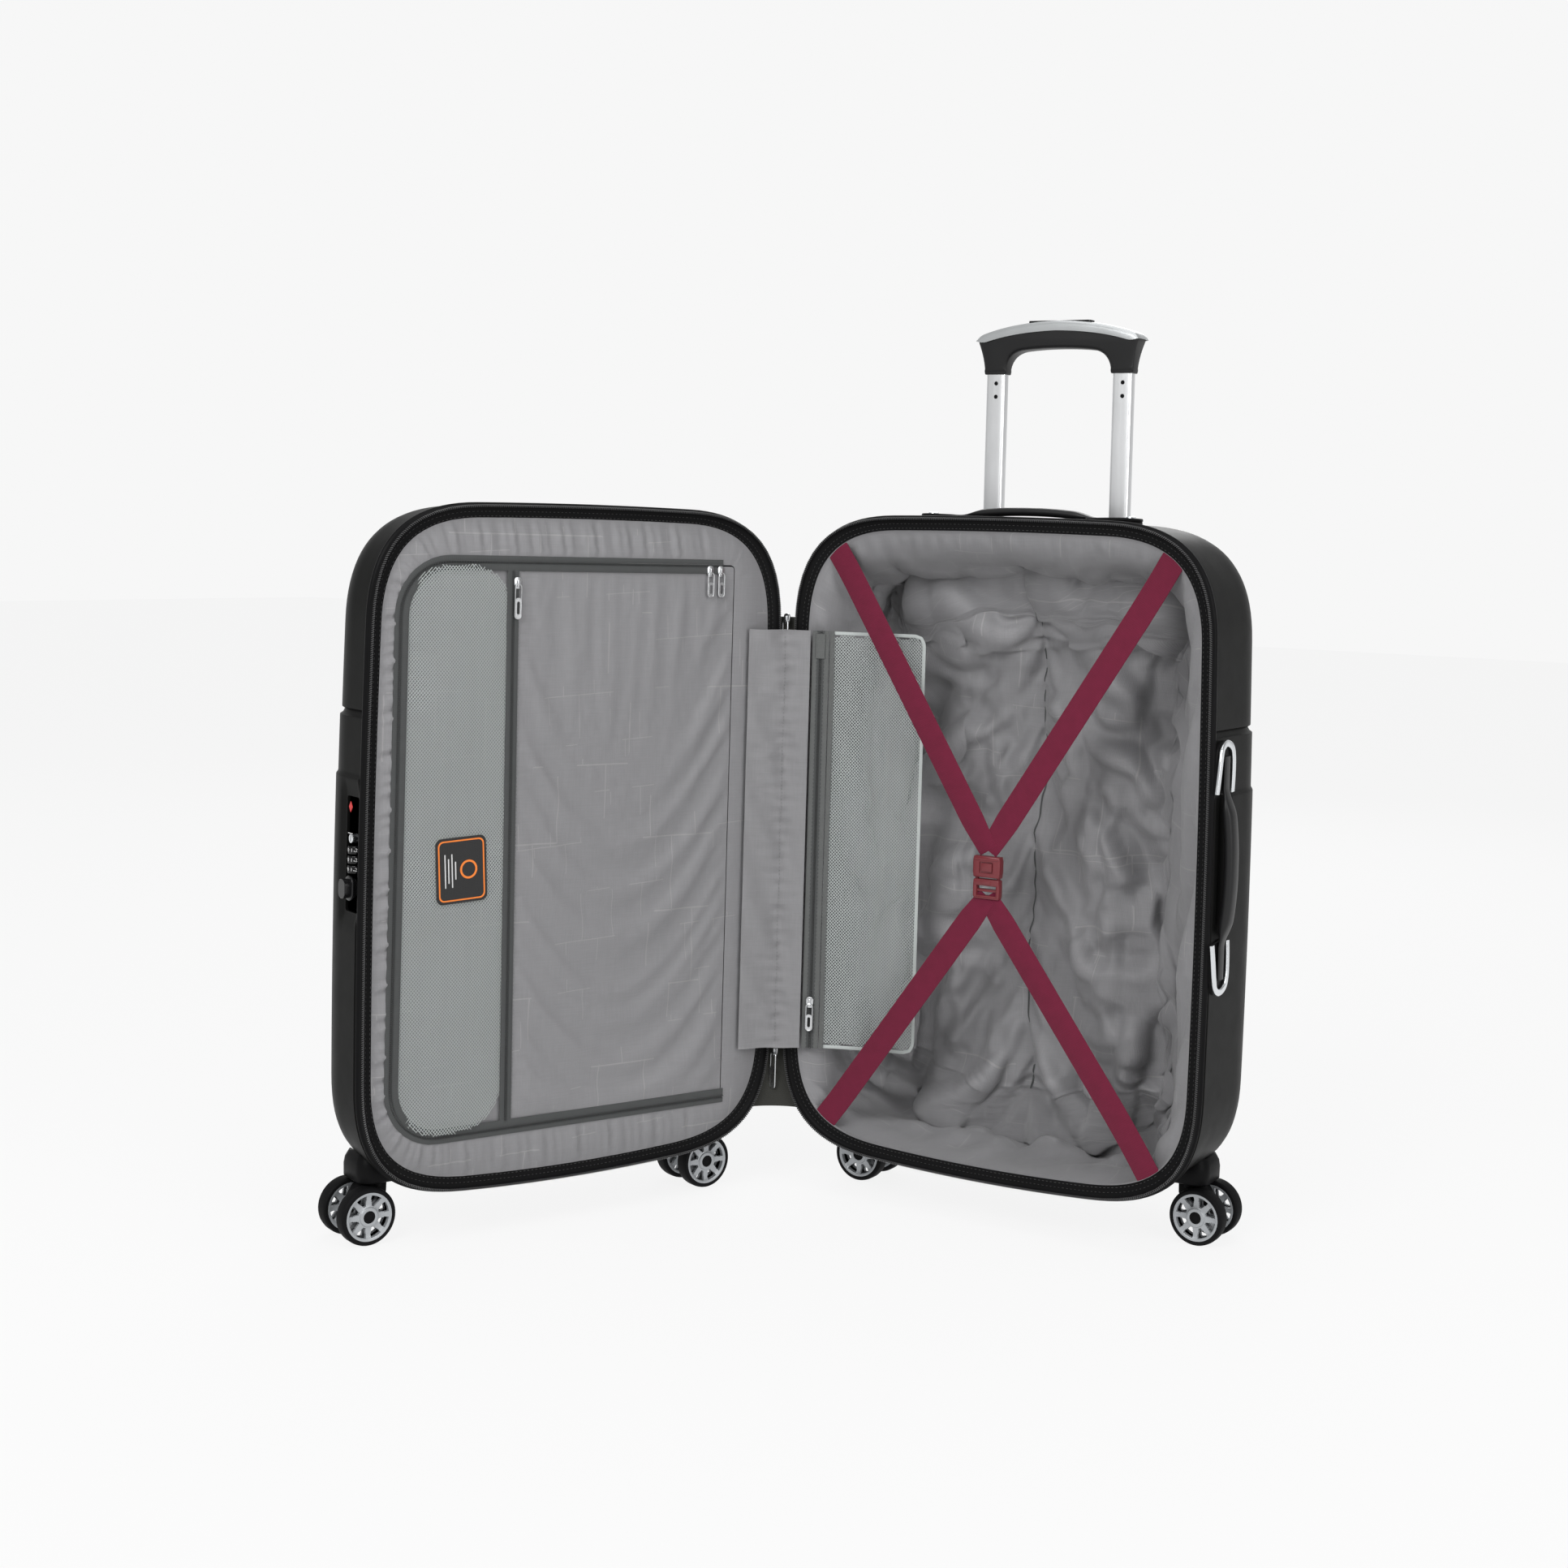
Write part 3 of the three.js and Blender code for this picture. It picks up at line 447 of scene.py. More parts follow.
def make(name, shape, half, body, looks, nodes=(), sharp=35, closed=True, ride=True):
    """The piece of that shape, placed in its half and riding on its body."""
    points = shape.all_points() / 1000
    faces = shape.faces
    if half == "lid":
        points = points * (-1, 1, 1)
        faces = [tuple(reversed(face)) for face in faces]
    mesh = bpy.data.meshes.new(name)
    mesh.from_pydata(points.tolist(), [], faces)
    layer = mesh.uv_layers.new(name="flat")
    corners = np.zeros(len(mesh.loops), int)
    mesh.loops.foreach_get("vertex_index", corners)
    layer.data.foreach_set("uv", (np.concatenate(shape.flat)[corners] / 1000).ravel())
    for look in looks if isinstance(looks, (list, tuple)) else [looks]:
        mesh.materials.append(look)
    mesh.polygons.foreach_set("material_index", shape.looks)
    finish_mesh(mesh, sharp, closed)
    obj = bpy.data.objects.new(name, mesh)
    bpy.context.scene.collection.objects.link(obj)
    obj.matrix_world = PLACE[half] if isinstance(half, str) else half
    if ride:
        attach(obj, body)
    if nodes:
        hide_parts(*nodes)
    return obj


def finish_mesh(mesh, sharp=35, closed=True):
    work = bmesh.new()
    work.from_mesh(mesh)
    if closed:
        bmesh.ops.recalc_face_normals(work, faces=work.faces)
    limit = math.radians(sharp)
    for edge in work.edges:
        edge.smooth = len(edge.link_faces) != 2 or edge.calc_face_angle(0) < limit
    for face in work.faces:
        face.smooth = True
    work.to_mesh(mesh)
    work.free()


def apply_modifiers(obj):
    graph = bpy.context.evaluated_depsgraph_get()
    mesh = bpy.data.meshes.new_from_object(obj.evaluated_get(graph), depsgraph=graph)
    obj.modifiers.clear()
    obj.data = mesh


def thicken(obj, thick, sharp=60):
    """Gives an open sheet its thickness, behind its front face."""
    solid = obj.modifiers.new("solid", "SOLIDIFY")
    solid.thickness, solid.offset = thick / 1000, -1
    apply_modifiers(obj)
    finish_mesh(obj.data, sharp, False)


# ---------- the outline of one half ----------
def ramp(value, low, high):
    t = np.clip((np.asarray(value, float) - low) / (high - low), 0, 1)
    return t * t * (3 - 2 * t)


def bezier(p, t):
    t = np.asarray(t, float)[:, None]
    p = [np.asarray(q, float) for q in p]
    if len(p) == 3:
        return p[0] * (1 - t) ** 2 + p[1] * 2 * t * (1 - t) + p[2] * t ** 2
    return p[0] * (1 - t) ** 3 + p[1] * 3 * t * (1 - t) ** 2 + p[2] * 3 * t ** 2 * (1 - t) + p[3] * t ** 3


SIDE_STEPS = np.linspace(-1, 1, 30)[1:-1] * 198


def bottom_bulge(w):
    """How far the bottom bellies out: behind the rim its corners rise further, above the wheels."""
    return 3.3 + 5.7 * float(ramp(w, 10, 45))


def outline(inset, side=SIDE_STEPS, arc=7, end=22, w=0.0):
    """The half's outline moved in by inset at the depth w, (x, z) about its middle, in four runs: the right side
    upwards from the middle of one corner to the middle of the next, then the top, the left side and the bottom.
    side gives the heights of the points on the sides."""
    hw, hh = WIDTH / 2 - inset, HEIGHT / 2 - inset
    r = CORNER - inset * 0.8
    side_end = np.array([hw - SIDE_BULGE, hh - r])
    side_way = np.array([-2 * SIDE_BULGE, hh - r])
    share = np.linspace(0, 1, end + 2)[1:-1]
    quarters = {}
    for sign, bulge in ((1, TOP_BULGE), (-1, bottom_bulge(w))):
        end_end = np.array([hw - r, hh - bulge])
        end_way = np.array([hw - r, -2 * bulge])
        corner = [side_end, side_end + side_way / np.linalg.norm(side_way) * 0.66 * r,
                  end_end + end_way / np.linalg.norm(end_way) * 0.66 * r, end_end]
        across = np.column_stack([end_end[0] * (1 - 2 * share), hh - bulge + 4 * bulge * share * (1 - share)])
        quarters[sign] = [run * (1, sign) for run in
                          (bezier(corner, np.linspace(0, 0.5, arc)), bezier(corner, np.linspace(0.5, 1, arc)), across)]
    t = (np.asarray(side) / side_end[1] + 1) / 2
    middle = np.column_stack([hw - SIDE_BULGE + 4 * SIDE_BULGE * t * (1 - t), side])
    right_side = np.vstack([quarters[-1][0][::-1], middle, quarters[1][0]])
    top, bottom = (np.vstack([rest, across, rest[::-1] * (-1, 1)]) for _, rest, across in (quarters[1], quarters[-1]))
    return [right_side, top, right_side[::-1] * (-1, 1), bottom[::-1]]


def loop_of(runs):
    return np.vstack([run[:-1] for run in runs]) + (MID_X, MID_Z)


def outward(loop):
    way = np.roll(loop, -1, 0) - np.roll(loop, 1, 0)
    return np.column_stack([way[:, 1], -way[:, 0]]) / np.linalg.norm(way, axis=1)[:, None]


def rim_path(inset, w, step):
    return at_level(evenly(loop_of(outline(inset)), step, True)[0], w)


def pan(rows, side, push=None, arc=7, end=22):
    """A dish: the outline's loops at each (inset, depth, lean) and a back filled with level rows. lean is 0 where
    the surface faces outwards and 1 where it faces back. push gives how far each point moves out."""
    points, flats = [], []
    for inset, w, lean in rows:
        loop = loop_of(outline(inset, side, arc, end, w))
        normal = outward(loop)
        out = push(loop[:, 0], np.full(len(loop), w), loop[:, 1], normal) if push else np.zeros(len(loop))
        angle = lean * math.pi / 2
        points.append(at_level(loop + normal * (out * math.cos(angle))[:, None], w + out * math.sin(angle)))
        flats.append(np.column_stack([run_along(loop), np.full(len(loop), w + inset)]))
    count = len(points[0])
    faces = sheet_faces(len(rows), count, False, True)
    inset, w, _ = rows[-1]
    right_side, top, left, bottom = outline(inset, side, arc, end, w)
    n, m = len(right_side), len(top)
    heights = right_side[:, 1]
    across = np.linspace(0, 1, m)[None, :]
    x = left[::-1][:, :1] * (1 - across) + right_side[:, :1] * across
    z = np.repeat(heights[:, None], m, 1)
    share = (heights - heights[0]) / (heights[-1] - heights[0])
    for run, weight in ((top[::-1], np.clip((share - 0.8) / 0.2, 0, 1) ** 2),
                        (bottom, np.clip((0.2 - share) / 0.2, 0, 1) ** 2)):
        ends = run[0] * (1 - across.T) + run[-1] * across.T
        x += weight[:, None] * (run - ends)[None, :, 0]
        z += weight[:, None] * (run - ends)[None, :, 1]
    x, z = x + MID_X, z + MID_Z
    y = np.full_like(x, w)
    if push:
        y += push(x.ravel(), y.ravel(), z.ravel(), None).reshape(x.shape)
    index = np.full((n, m), -1)
    first = (len(rows) - 1) * count
    index[:, -1] = first + np.arange(n)
    index[-1, ::-1] = first + (n - 1) + np.arange(m)
    index[::-1, 0] = first + (n - 1) + (m - 1) + np.arange(n)
    index[0, :] = first + (np.arange(m) + 2 * (n - 1) + (m - 1)) % count
    inside = index[1:-1, 1:-1]
    inside[:] = (len(rows) * count + np.arange(inside.size)).reshape(inside.shape)
    centre = np.stack([x, y, z], -1)[1:-1, 1:-1].reshape(-1, 3)
    points.append(centre)
    flats.append(centre[:, [0, 2]])
    i, j = np.meshgrid(np.arange(n - 1), np.arange(m - 1), indexing="ij")
    back = np.stack([index[i, j], index[i, j + 1], index[i + 1, j + 1], index[i + 1, j]], -1).reshape(-1, 4)
    return np.vstack(points), faces + back.tolist(), np.vstack(flats), index


# ---------- shells ----------
def zone(z):
    """How far the shell stands out at each height: three zones stepping outwards going down, and a groove."""
    out = -2.0 + 1.6 * (1 - ramp(z, GROOVE_Z - 2, GROOVE_Z + 2)) + 1.8 * (1 - ramp(z, STEP_Z - 2, STEP_Z + 2))
    return out - 2.6 * ramp(z, GROOVE_Z - 3.6, GROOVE_Z - 1.6) * (1 - ramp(z, GROOVE_Z + 1.6, GROOVE_Z + 3.6))


def within(value, low, high, soft):
    return ramp(value, low, low + soft) * (1 - ramp(value, high - soft, high))


def back_fall(y):
    """How far the base's top has come down at this depth, where it rounds over into the back."""
    bend = BACK_ROUND["base"]
    share = np.clip((y - DEPTH["base"] + bend) / bend, 0, 1)
    return bend * (1 - np.sqrt(1 - share ** 2))


def shell_push(half):
    def push(x, w, z, normal):
        out = zone(z)
        if normal is not None:
            outer = x > MID_X + 170
            if half == "base":
                out = out - 8 * outer * within(z, 285, 429, 16) * within(w, 12, 46, 7)
            else:
                out = out - 2.2 * outer * within(z, 288, 411, 9) * within(w, 8, 46, 6)
        return out
    return push


FINE = [GROOVE_Z - MID_Z + d for d in (-6, -4.2, -3.4, -2.4, -1.4, 0, 1.4, 2.4, 3.4, 4.2, 6)]
FINE += [STEP_Z - MID_Z + d for d in (-4.5, -2.6, -1.6, -0.7, 0.7, 1.6, 2.6, 4.5)]
COARSE = [h for h in np.arange(-186, 187, 8.85) if min(abs(h - f) for f in FINE) > 5]
SHELL_SIDE = np.array(sorted(COARSE + FINE))


def carve(obj, cutter, half):
    """Cuts closed shapes out of a piece."""
    points = cutter.all_points() / 1000 * ((-1, 1, 1) if half == "lid" else (1, 1, 1))
    mesh = bpy.data.meshes.new("cutter")
    mesh.from_pydata(points.tolist(), [], cutter.faces)
    finish_mesh(mesh)
    tool = bpy.data.objects.new("cutter", mesh)
    bpy.context.scene.collection.objects.link(tool)
    tool.matrix_world = PLACE[half]
    bpy.context.view_layer.update()
    cut = obj.modifiers.new("cut", "BOOLEAN")
    cut.object, cut.operation, cut.solver = tool, "DIFFERENCE", "EXACT"
    apply_modifiers(obj)
    finish_mesh(obj.data)
    bpy.data.objects.remove(tool)


for half, depth in DEPTH.items():
    straight = [11.3, 12.2, 14, 17, 20, 24, 28, 32, 36, 40, 44, 48, 54]
    bend = BACK_ROUND[half]
    straight = [w for w in straight + [62, 72, 82] if w < depth - bend - 4] + [depth - bend]
    rows = [(0.9, straight[0], 0), (0, straight[1], 0)] + [(0, w, 0) for w in straight[2:]]
    for k in range(1, 15):
        turn = math.pi / 2 * k / 14
        rows.append((bend * (1 - math.cos(turn)), depth - bend * (1 - math.sin(turn)), k / 14))
    points, faces, flat, _ = pan(rows, SHELL_SIDE, shell_push(half), arc=12, end=26)
    shell = make(f"{half}_shell_skin", Shape().add(points, faces, flat=flat), half, half, SHELL,
                 [f"{half}_shell"], sharp=50)
    thicken(shell, 2.5, 40)
    hole = Shape()
    if half == "base":
        block(hole, MID_X - CUP["half"] - 0.3, MID_X + CUP["half"] + 0.3, CUP["front"] - 0.3, CUP["back"] + 0.3,
              CUP["bottom"] - 0.3, 700, 2, axis="z")
    else:
        front, rear, low, high = LOCK_PLATE
        block(hole, 426, 460, front - 0.5, rear + 0.5, low - 0.5, high + 0.5, 2, axis="x")
    carve(shell, hole, half)

# ---------- rims with their zips ----------
RIM_SECTION = [(0, 11.2), (-0.9, 10), (-1.1, 8.6), (-0.6, 7.4), (0.4, 6.6), (0.9, 6.0), (1.2, 1.6), (1.7, 0.9),
               (2.4, 1.2), (2.9, 2.0), (3.2, 5.0), (4.2, 6.0), (8.5, 6.4), (12.4, 6.6), (13.2, 7.4), (12.8, 10.4),
               (6, 11)]
RIM_SIDE = np.linspace(-1, 1, 62)[1:-1] * 200
for half in DEPTH:
    rim = Shape()
    loops = [at_level(loop_of(outline(inset, RIM_SIDE, 12, 40)), w) for inset, w in RIM_SECTION]
    rim.add(np.array(loops), sheet_faces(len(loops), len(loops[0]), True, True))
    make(f"{half}_rim_band", rim, half, half, TRIM, [f"{half}_rim"], sharp=50)
    teeth = Shape()
    path = rim_path(2.1, 0.7, 3.0)
    path = np.vstack([path, path[:1]])
    inward = -outward(path[:-1][:, [0, 2]])
    inward = np.vstack([inward, inward[:1]])
    coil(teeth, path, at_level(inward, 0), 0.95, 1.95, 0.42)
    make(f"{half}_zip_coil", teeth, half, half, COIL)
    band = Shape()
    for inset in (7.0, 11.2):
        path = rim_path(inset, 6.35, 1.0)
        stitches(band, path, (0, -1, 0), 2.6, 1.5, 0.3)
    make(f"{half}_rim_stitching", band, half, half, BLACK_THREAD)


# ---------- cloth by simulation ----------
def crumple(points, faces, pins, grow, frames, bend=0.05, gravity=1.0, seed=1, rough=0.3):
    """Where the points of a sheet cut a little too big come to rest, with the pinned ones held. Millimetres."""
    jitter = np.random.default_rng(seed).normal(0, rough, points.shape)
    start = points + jitter * (1 - np.asarray(pins))[:, None]
    mesh = bpy.data.meshes.new("sheet")
    mesh.from_pydata((start / 1000).tolist(), [], faces)
    obj = bpy.data.objects.new("sheet", mesh)
    scene = bpy.context.scene
    scene.collection.objects.link(obj)
    group = obj.vertex_groups.new(name="pin")
    for index, weight in enumerate(pins):
        if weight > 0:
            group.add([index], float(weight), "REPLACE")
    cloth = obj.modifiers.new("cloth", "CLOTH")
    settings = cloth.settings
    settings.quality, settings.mass = 6, 0.25
    settings.tension_stiffness = settings.compression_stiffness = 12
    settings.shear_stiffness, settings.bending_stiffness = 4, bend
    settings.air_damping = 2
    settings.tension_damping = settings.compression_damping = 5
    settings.shrink_min = settings.shrink_max = -grow
    settings.vertex_group_mass = "pin"
    settings.effector_weights.gravity = gravity
    cloth.collision_settings.use_collision = False
    cloth.point_cache.frame_start, cloth.point_cache.frame_end = 1, frames
    for number in range(1, frames + 1):
        scene.frame_set(number)
    graph = bpy.context.evaluated_depsgraph_get()
    settled = obj.evaluated_get(graph).data
    out = np.zeros(len(settled.vertices) * 3)
    settled.vertices.foreach_get("co", out)
    bpy.data.objects.remove(obj)
    scene.frame_set(1)
    return out.reshape(-1, 3) * 1000


def held(points, moved, cap, inward_cap, outward_cap, inward):
    """The move from points to moved, kept within its caps: along the inward direction and across it."""
    move = moved - points
    along = np.sum(move * inward, 1)
    across = move - inward * along[:, None]
    length = np.linalg.norm(across, axis=1)[:, None] + 1e-9
    across *= np.tanh(length / cap) * cap / length
    along = np.where(along > 0, inward_cap * np.tanh(along / inward_cap), outward_cap * np.tanh(along / outward_cap))
    return points + across + inward * along[:, None]


def vertex_normals(points, faces):
    faces = np.asarray([f for f in faces if len(f) == 4])
    a, b, c, d = (points[faces[:, k]] for k in range(4))
    normal = np.cross(c - a, d - b)
    total = np.zeros_like(points)
    for k in range(4):
        np.add.at(total, faces[:, k], normal)
    return total / (np.linalg.norm(total, axis=1)[:, None] + 1e-9)


def tray(half, back, round_back, cell, grow, caps, frames, seed):
    """A lining sewn in at the rim, with its wall, its back and the seams that hold them."""
    rows = [(13.2, 7.6, 0), (15, 9.5, 0)] + [(15, w, 0) for w in np.arange(15, back - round_back, cell)]
    rows += [(15 + round_back * (1 - math.cos(t)), back - round_back * (1 - math.sin(t)), 0)
             for t in np.linspace(0, math.pi / 2, int(round_back * 1.5 / cell))]
    side = np.linspace(-1, 1, int(376 / cell))[1:-1] * 186
    arc, end = int(82 / cell), int(240 / cell)
    points, faces, flat, index = pan(rows, side, arc=arc, end=end)
    if half == "base":
        points[:, 1] -= 2.5 * np.log1p(np.exp((points[:, 1] - back_room(points[:, 0], points[:, 2])) / 2.5))
        drift = seam_wave(points[:, 2])
        points[:, 0] += drift * np.exp(-((points[:, 0] - MID_X) / 45) ** 2) * ramp(points[:, 1], 20, 90)
    count = len(points)
    pins = np.zeros(count)
    around = outline(0, side, arc, end)
    loop = 2 * (len(around[0]) + len(around[1])) - 4
    pins[:2 * loop] = 1
    normal = vertex_normals(points, faces)
    centre = np.array([MID_X, 20.0, MID_Z])
    if np.mean(np.sum(normal * (centre - points), 1)) < 0:
        normal = -normal
    if half == "base":
        seam = index[:, index.shape[1] // 2]
        pins[seam] = np.where(np.arange(len(seam)) % 2 == 0, 0.6, 0.25)
        off = np.abs(points[:, 0] - MID_X - seam_wave(points[:, 2]))
        loose = ramp(points[:, 1], 16, 95)
        rise = 15 * folds(points, 105, 1.7) + 6 * folds(points, 52, 4.1) + 2 * folds(points, 27, 8.3)
        rise *= 1 - 0.75 * np.exp(-(off / 16) ** 2)
        rise += 1.5 * np.exp(-off / 11) * np.sin(points[:, 2] / 2.9 + 1.3 * np.sin(points[:, 2] / 31))
        points = points + normal * (rise * loose)[:, None]
        normal = vertex_normals(points, faces) * np.sign(np.sum(normal * vertex_normals(points, faces), 1))[:, None]
    moved = crumple(points, faces, pins, grow, frames, seed=seed)
    final = held(points, moved, 9, caps[0], caps[1], normal)
    return final, faces, flat, index, normal


def back_room(x, z):
    """How deep the base's lining may lie: it hangs loose across the pull handle's guides, their foot and housing."""
    off = np.abs(x - MID_X)
    across = 1 - ramp(off, TUBE_X + 18, TUBE_X + 72)
    near_cup = (1 - ramp(off, 106, 150)) * ramp(z, 545, 598)
    return 148 - 35 * across - 41 * near_cup * (1 - across * 0.8)


def seam_wave(z):
    """How far the seam down the middle of the base's lining wanders to the side."""
    return 5 * np.sin(z / 66 + 0.6) + 2.5 * np.sin(z / 21)


FOLD_SEED = 1794927458      # without it the wandering of the folds would start from the clock


def folds(points, size, seed):
    """Creased ridges between soft valleys, 0 to 1, at the points of a loose cloth."""
    noise.seed_set(FOLD_SEED)
    heights = np.empty(len(points))
    for k, point in enumerate(points * (1 / size, 1 / size, 0.62 / size)):
        at = Vector(point) + Vector((seed, seed * 2.3, seed * 0.7))
        at += 0.6 * noise.noise_vector(at * 0.9)
        heights[k] = max(0.0, 1 - 2.3 * abs(noise.noise(at))) ** 1.4
    return heights


def cloth_piece(name, points, faces, flat, half, body, look, nodes, thick=0.7, subdivide=0):
    obj = make(name, Shape().add(points, faces, flat=flat), half, body, look, nodes, 80, False)
    if subdivide:
        finer = obj.modifiers.new("finer", "SUBSURF")
        finer.levels = finer.render_levels = subdivide
        apply_modifiers(obj)
    thicken(obj, thick, 80)
    return obj


def face_inwards(points, faces, centre):
    """Faces turned so that the sheet's front looks at the centre."""
    quads = np.asarray([f for f in faces if len(f) == 4])
    a, b, c, d = (points[quads[:, k]] for k in range(4))
    facing = np.sum(np.cross(c - a, d - b) * (np.asarray(centre) - a), 1)
    return [tuple(reversed(f)) for f in faces] if np.sum(facing) < 0 else faces


for half, settings, size, area, finer in (
        ("base", (150, 62, 6.0, 0.085, (30, 3.5), 26, 3), (0.68, 0.87), 0.49, 1),
        ("lid", (96, 46, 11.0, 0.02, (8, 2), 8, 5), (0.6, 0.8), 0.42, 0)):
    points, faces, flat, index, normal = tray(half, *settings)
    faces = face_inwards(points, faces, (MID_X, 30, MID_Z))
    cloth_piece(f"{half}_lining_cloth", points, faces, flat, half, half, SATIN, [f"{half}_lining"],
                0.7, finer)
    if half == "base":
        middle = index.shape[1] // 2
        here, left, right = (points[index[:, middle + k]] for k in (0, -1, 1))
        lift = normal[index[:, middle]] * 0.9
        # a thin strip down the middle seam in the dark tape colour: it is the seam's tape, and its darkness is also
        # painted shade along the puckered seam
        seam = np.stack([here + (left - here) * 0.2 + lift * 0.6, here + lift,
                         here + (right - here) * 0.2 + lift * 0.6], 1).reshape(-1, 3)
        cloth_piece("base_lining_seam", seam, face_inwards(seam, sheet_faces(len(index), 3), (MID_X, 20, MID_Z)), None,
                    half, half, TAPE, (), 0.5, 1)

# ---------- lid: border, divider and its zips ----------
DOOR = {"inner": 62, "outer": 412, "bottom": 95, "top": 609}
NET = {"inner": 303, "outer": 403, "bottom": 104, "top": 600}


def door_outline(grow=0.0, steps=10, inner_r=5.0, outer_r=48.0):
    """The divider's outline, (x, z), counterclockwise from its lower inner corner."""
    x0, x1, z0, z1 = DOOR["inner"] - grow, DOOR["outer"] + grow, DOOR["bottom"] - grow, DOOR["top"] + grow
    parts = []
    for cx, cz, r, start in ((x0, z0, inner_r, 180), (x1, z0, outer_r + grow, 270), (x1, z1, outer_r + grow, 0),
                             (x0, z1, inner_r, 90)):
        sx, sz = (1 if cx == x0 else -1), (1 if cz == z0 else -1)
        turn = np.radians(start + np.linspace(0, 90, steps))
        parts.append(np.column_stack([cx + sx * r + r * np.cos(turn), cz + sz * r + r * np.sin(turn)]))
    return np.vstack(parts)


def border():
    outer = loop_of(outline(12.2, RIM_SIDE, 12, 40))
    inner, _ = evenly(door_outline(0.4), 2.0, True)
    dense, _ = evenly(outer, 2.0, True)
    nearest = np.array([np.argmin(np.sum((inner - p) ** 2, 1)) for p in dense])
    turned = np.unwrap(nearest * 2 * math.pi / len(inner))
    smooth = np.convolve(np.concatenate([turned[-20:] - 2 * math.pi, turned, turned[:20] + 2 * math.pi]),
                         np.ones(31) / 31, "same")[20:-20]
    at = np.mod(smooth / (2 * math.pi) * len(inner), len(inner))
    low = np.floor(at).astype(int) % len(inner)
    share = (at % 1)[:, None]
    foot = inner[low] * (1 - share) + inner[(low + 1) % len(inner)] * share
    rng = np.random.default_rng(11)
    n = len(dense)
    run = np.arange(n) * 2.0
    wave = np.zeros(n)
    for length, size in ((8.7, 0.5), (12.3, 0.7), (17.9, 0.8), (31, 0.6)):
        periods = round(n * 2.0 / length)
        wave += size * np.sin(2 * math.pi * periods * run / (n * 2.0) + rng.uniform(0, 6) + 1.4 * np.sin(run / 37))
    calm = np.clip((dense[:, 0] - 60) / 60, 0.12, 1)
    rows = []
    steps = 12
    for k in range(steps + 1):
        t = k / steps
        p = dense * (1 - t) + foot * t
        swell = math.sin(math.pi * min(1, t * 1.02)) ** 0.8
        w = 6.9 * (1 - t) ** 2 + (3.6 - 1.2 * swell) * (1 - (1 - t) ** 2)
        w = w - np.roll(wave, int(3 * t)) * swell * calm * 0.9 * (1 - float(ramp(t, 0.7, 0.97)))
        rows.append(np.column_stack([p[:, 0], w, p[:, 1]]))
    rows = np.array(rows)
    faces = sheet_faces(len(rows), n, False, True)
    return rows.reshape(-1, 3), faces, rows[..., [0, 2]].reshape(-1, 2)


points, faces, flat = border()
faces = face_inwards(points, faces, (MID_X, -400, MID_Z))
cloth_piece("lid_lining_border", points, faces, flat, "lid", "lid", SATIN, [])

PANEL_X = (DOOR["inner"] + 0.6, 297.0)
PANEL_Z = (DOOR["bottom"] + 1.0, DOOR["top"] - 1.0)


def panel():
    nu, nz = 46, 98
    u, z = np.meshgrid(np.linspace(*PANEL_X, nu), np.linspace(*PANEL_Z, nz), indexing="ij")
    points = np.stack([u, np.full_like(u, 3.6), z], -1).reshape(-1, 3)
    faces = sheet_faces(nu, nz)
    pins = np.zeros((nu, nz))
    pins[0], pins[-1], pins[:, 0], pins[:, -1] = 1, 1, 1, 1
    moved = crumple(points, faces, pins.ravel(), 0.021, 22, bend=0.25, seed=8, rough=0.4, gravity=1.5)
    normal = np.tile((0, -1.0, 0), (len(points), 1))
    final = held(points, moved, 4, 4.2, 1.2, normal).reshape(nu, nz, 3)
    near_edge = np.minimum(np.minimum(z - PANEL_Z[0], PANEL_Z[1] - z), PANEL_X[1] - u)
    final[..., 1] = 3.6 + (final[..., 1] - 3.6) * ramp(near_edge, 2, 26)
    pucker = np.exp(-(PANEL_X[1] - u) / 14) * 1.5 * np.sin(z / 1.55 + 1.5 * np.sin(z / 23))
    final[..., 1] -= pucker * np.clip((u - PANEL_X[0]) / 20, 0, 1)
    for edge in PANEL_Z:
        final[..., 1] -= 0.4 * np.exp(-abs(z - edge) / 9) * np.sin(u / 1.9 + 2 * np.sin(u / 19))
    final[..., 1] = np.minimum(final[..., 1], 4.6)
    return final.reshape(-1, 3), faces


points, faces = panel()
faces = face_inwards(points, faces, (MID_X, -400, MID_Z))
cloth_piece("divider_cloth", points, faces, points[:, [0, 2]], "lid", "divider", SATIN,
            ["divider_door"], 0.7, 1)

# the layer behind the net
outer, _ = evenly(door_outline(-0.6), 4.0, True)
outer = outer[outer[:, 0] > 296]
outer = outer[np.argsort(np.arctan2(outer[:, 1] - MID_Z, outer[:, 0] - 300))]
spine = np.column_stack([np.full(len(outer), 298.0), np.clip(outer[:, 1], *PANEL_Z)])
points = np.concatenate([at_level(spine * (1 - t) + outer * t,
                                  4.9 + 0.25 * np.sin(outer[:, 1] / 19 + 5 * t) * math.sin(math.pi * t))
                         for t in np.linspace(0, 1, 14)])
faces = face_inwards(points, sheet_faces(14, len(outer)), (MID_X, -400, MID_Z))
cloth_piece("divider_back_layer", points, faces, points[:, [0, 2]], "lid", "divider", SATIN, [],
            0.6)


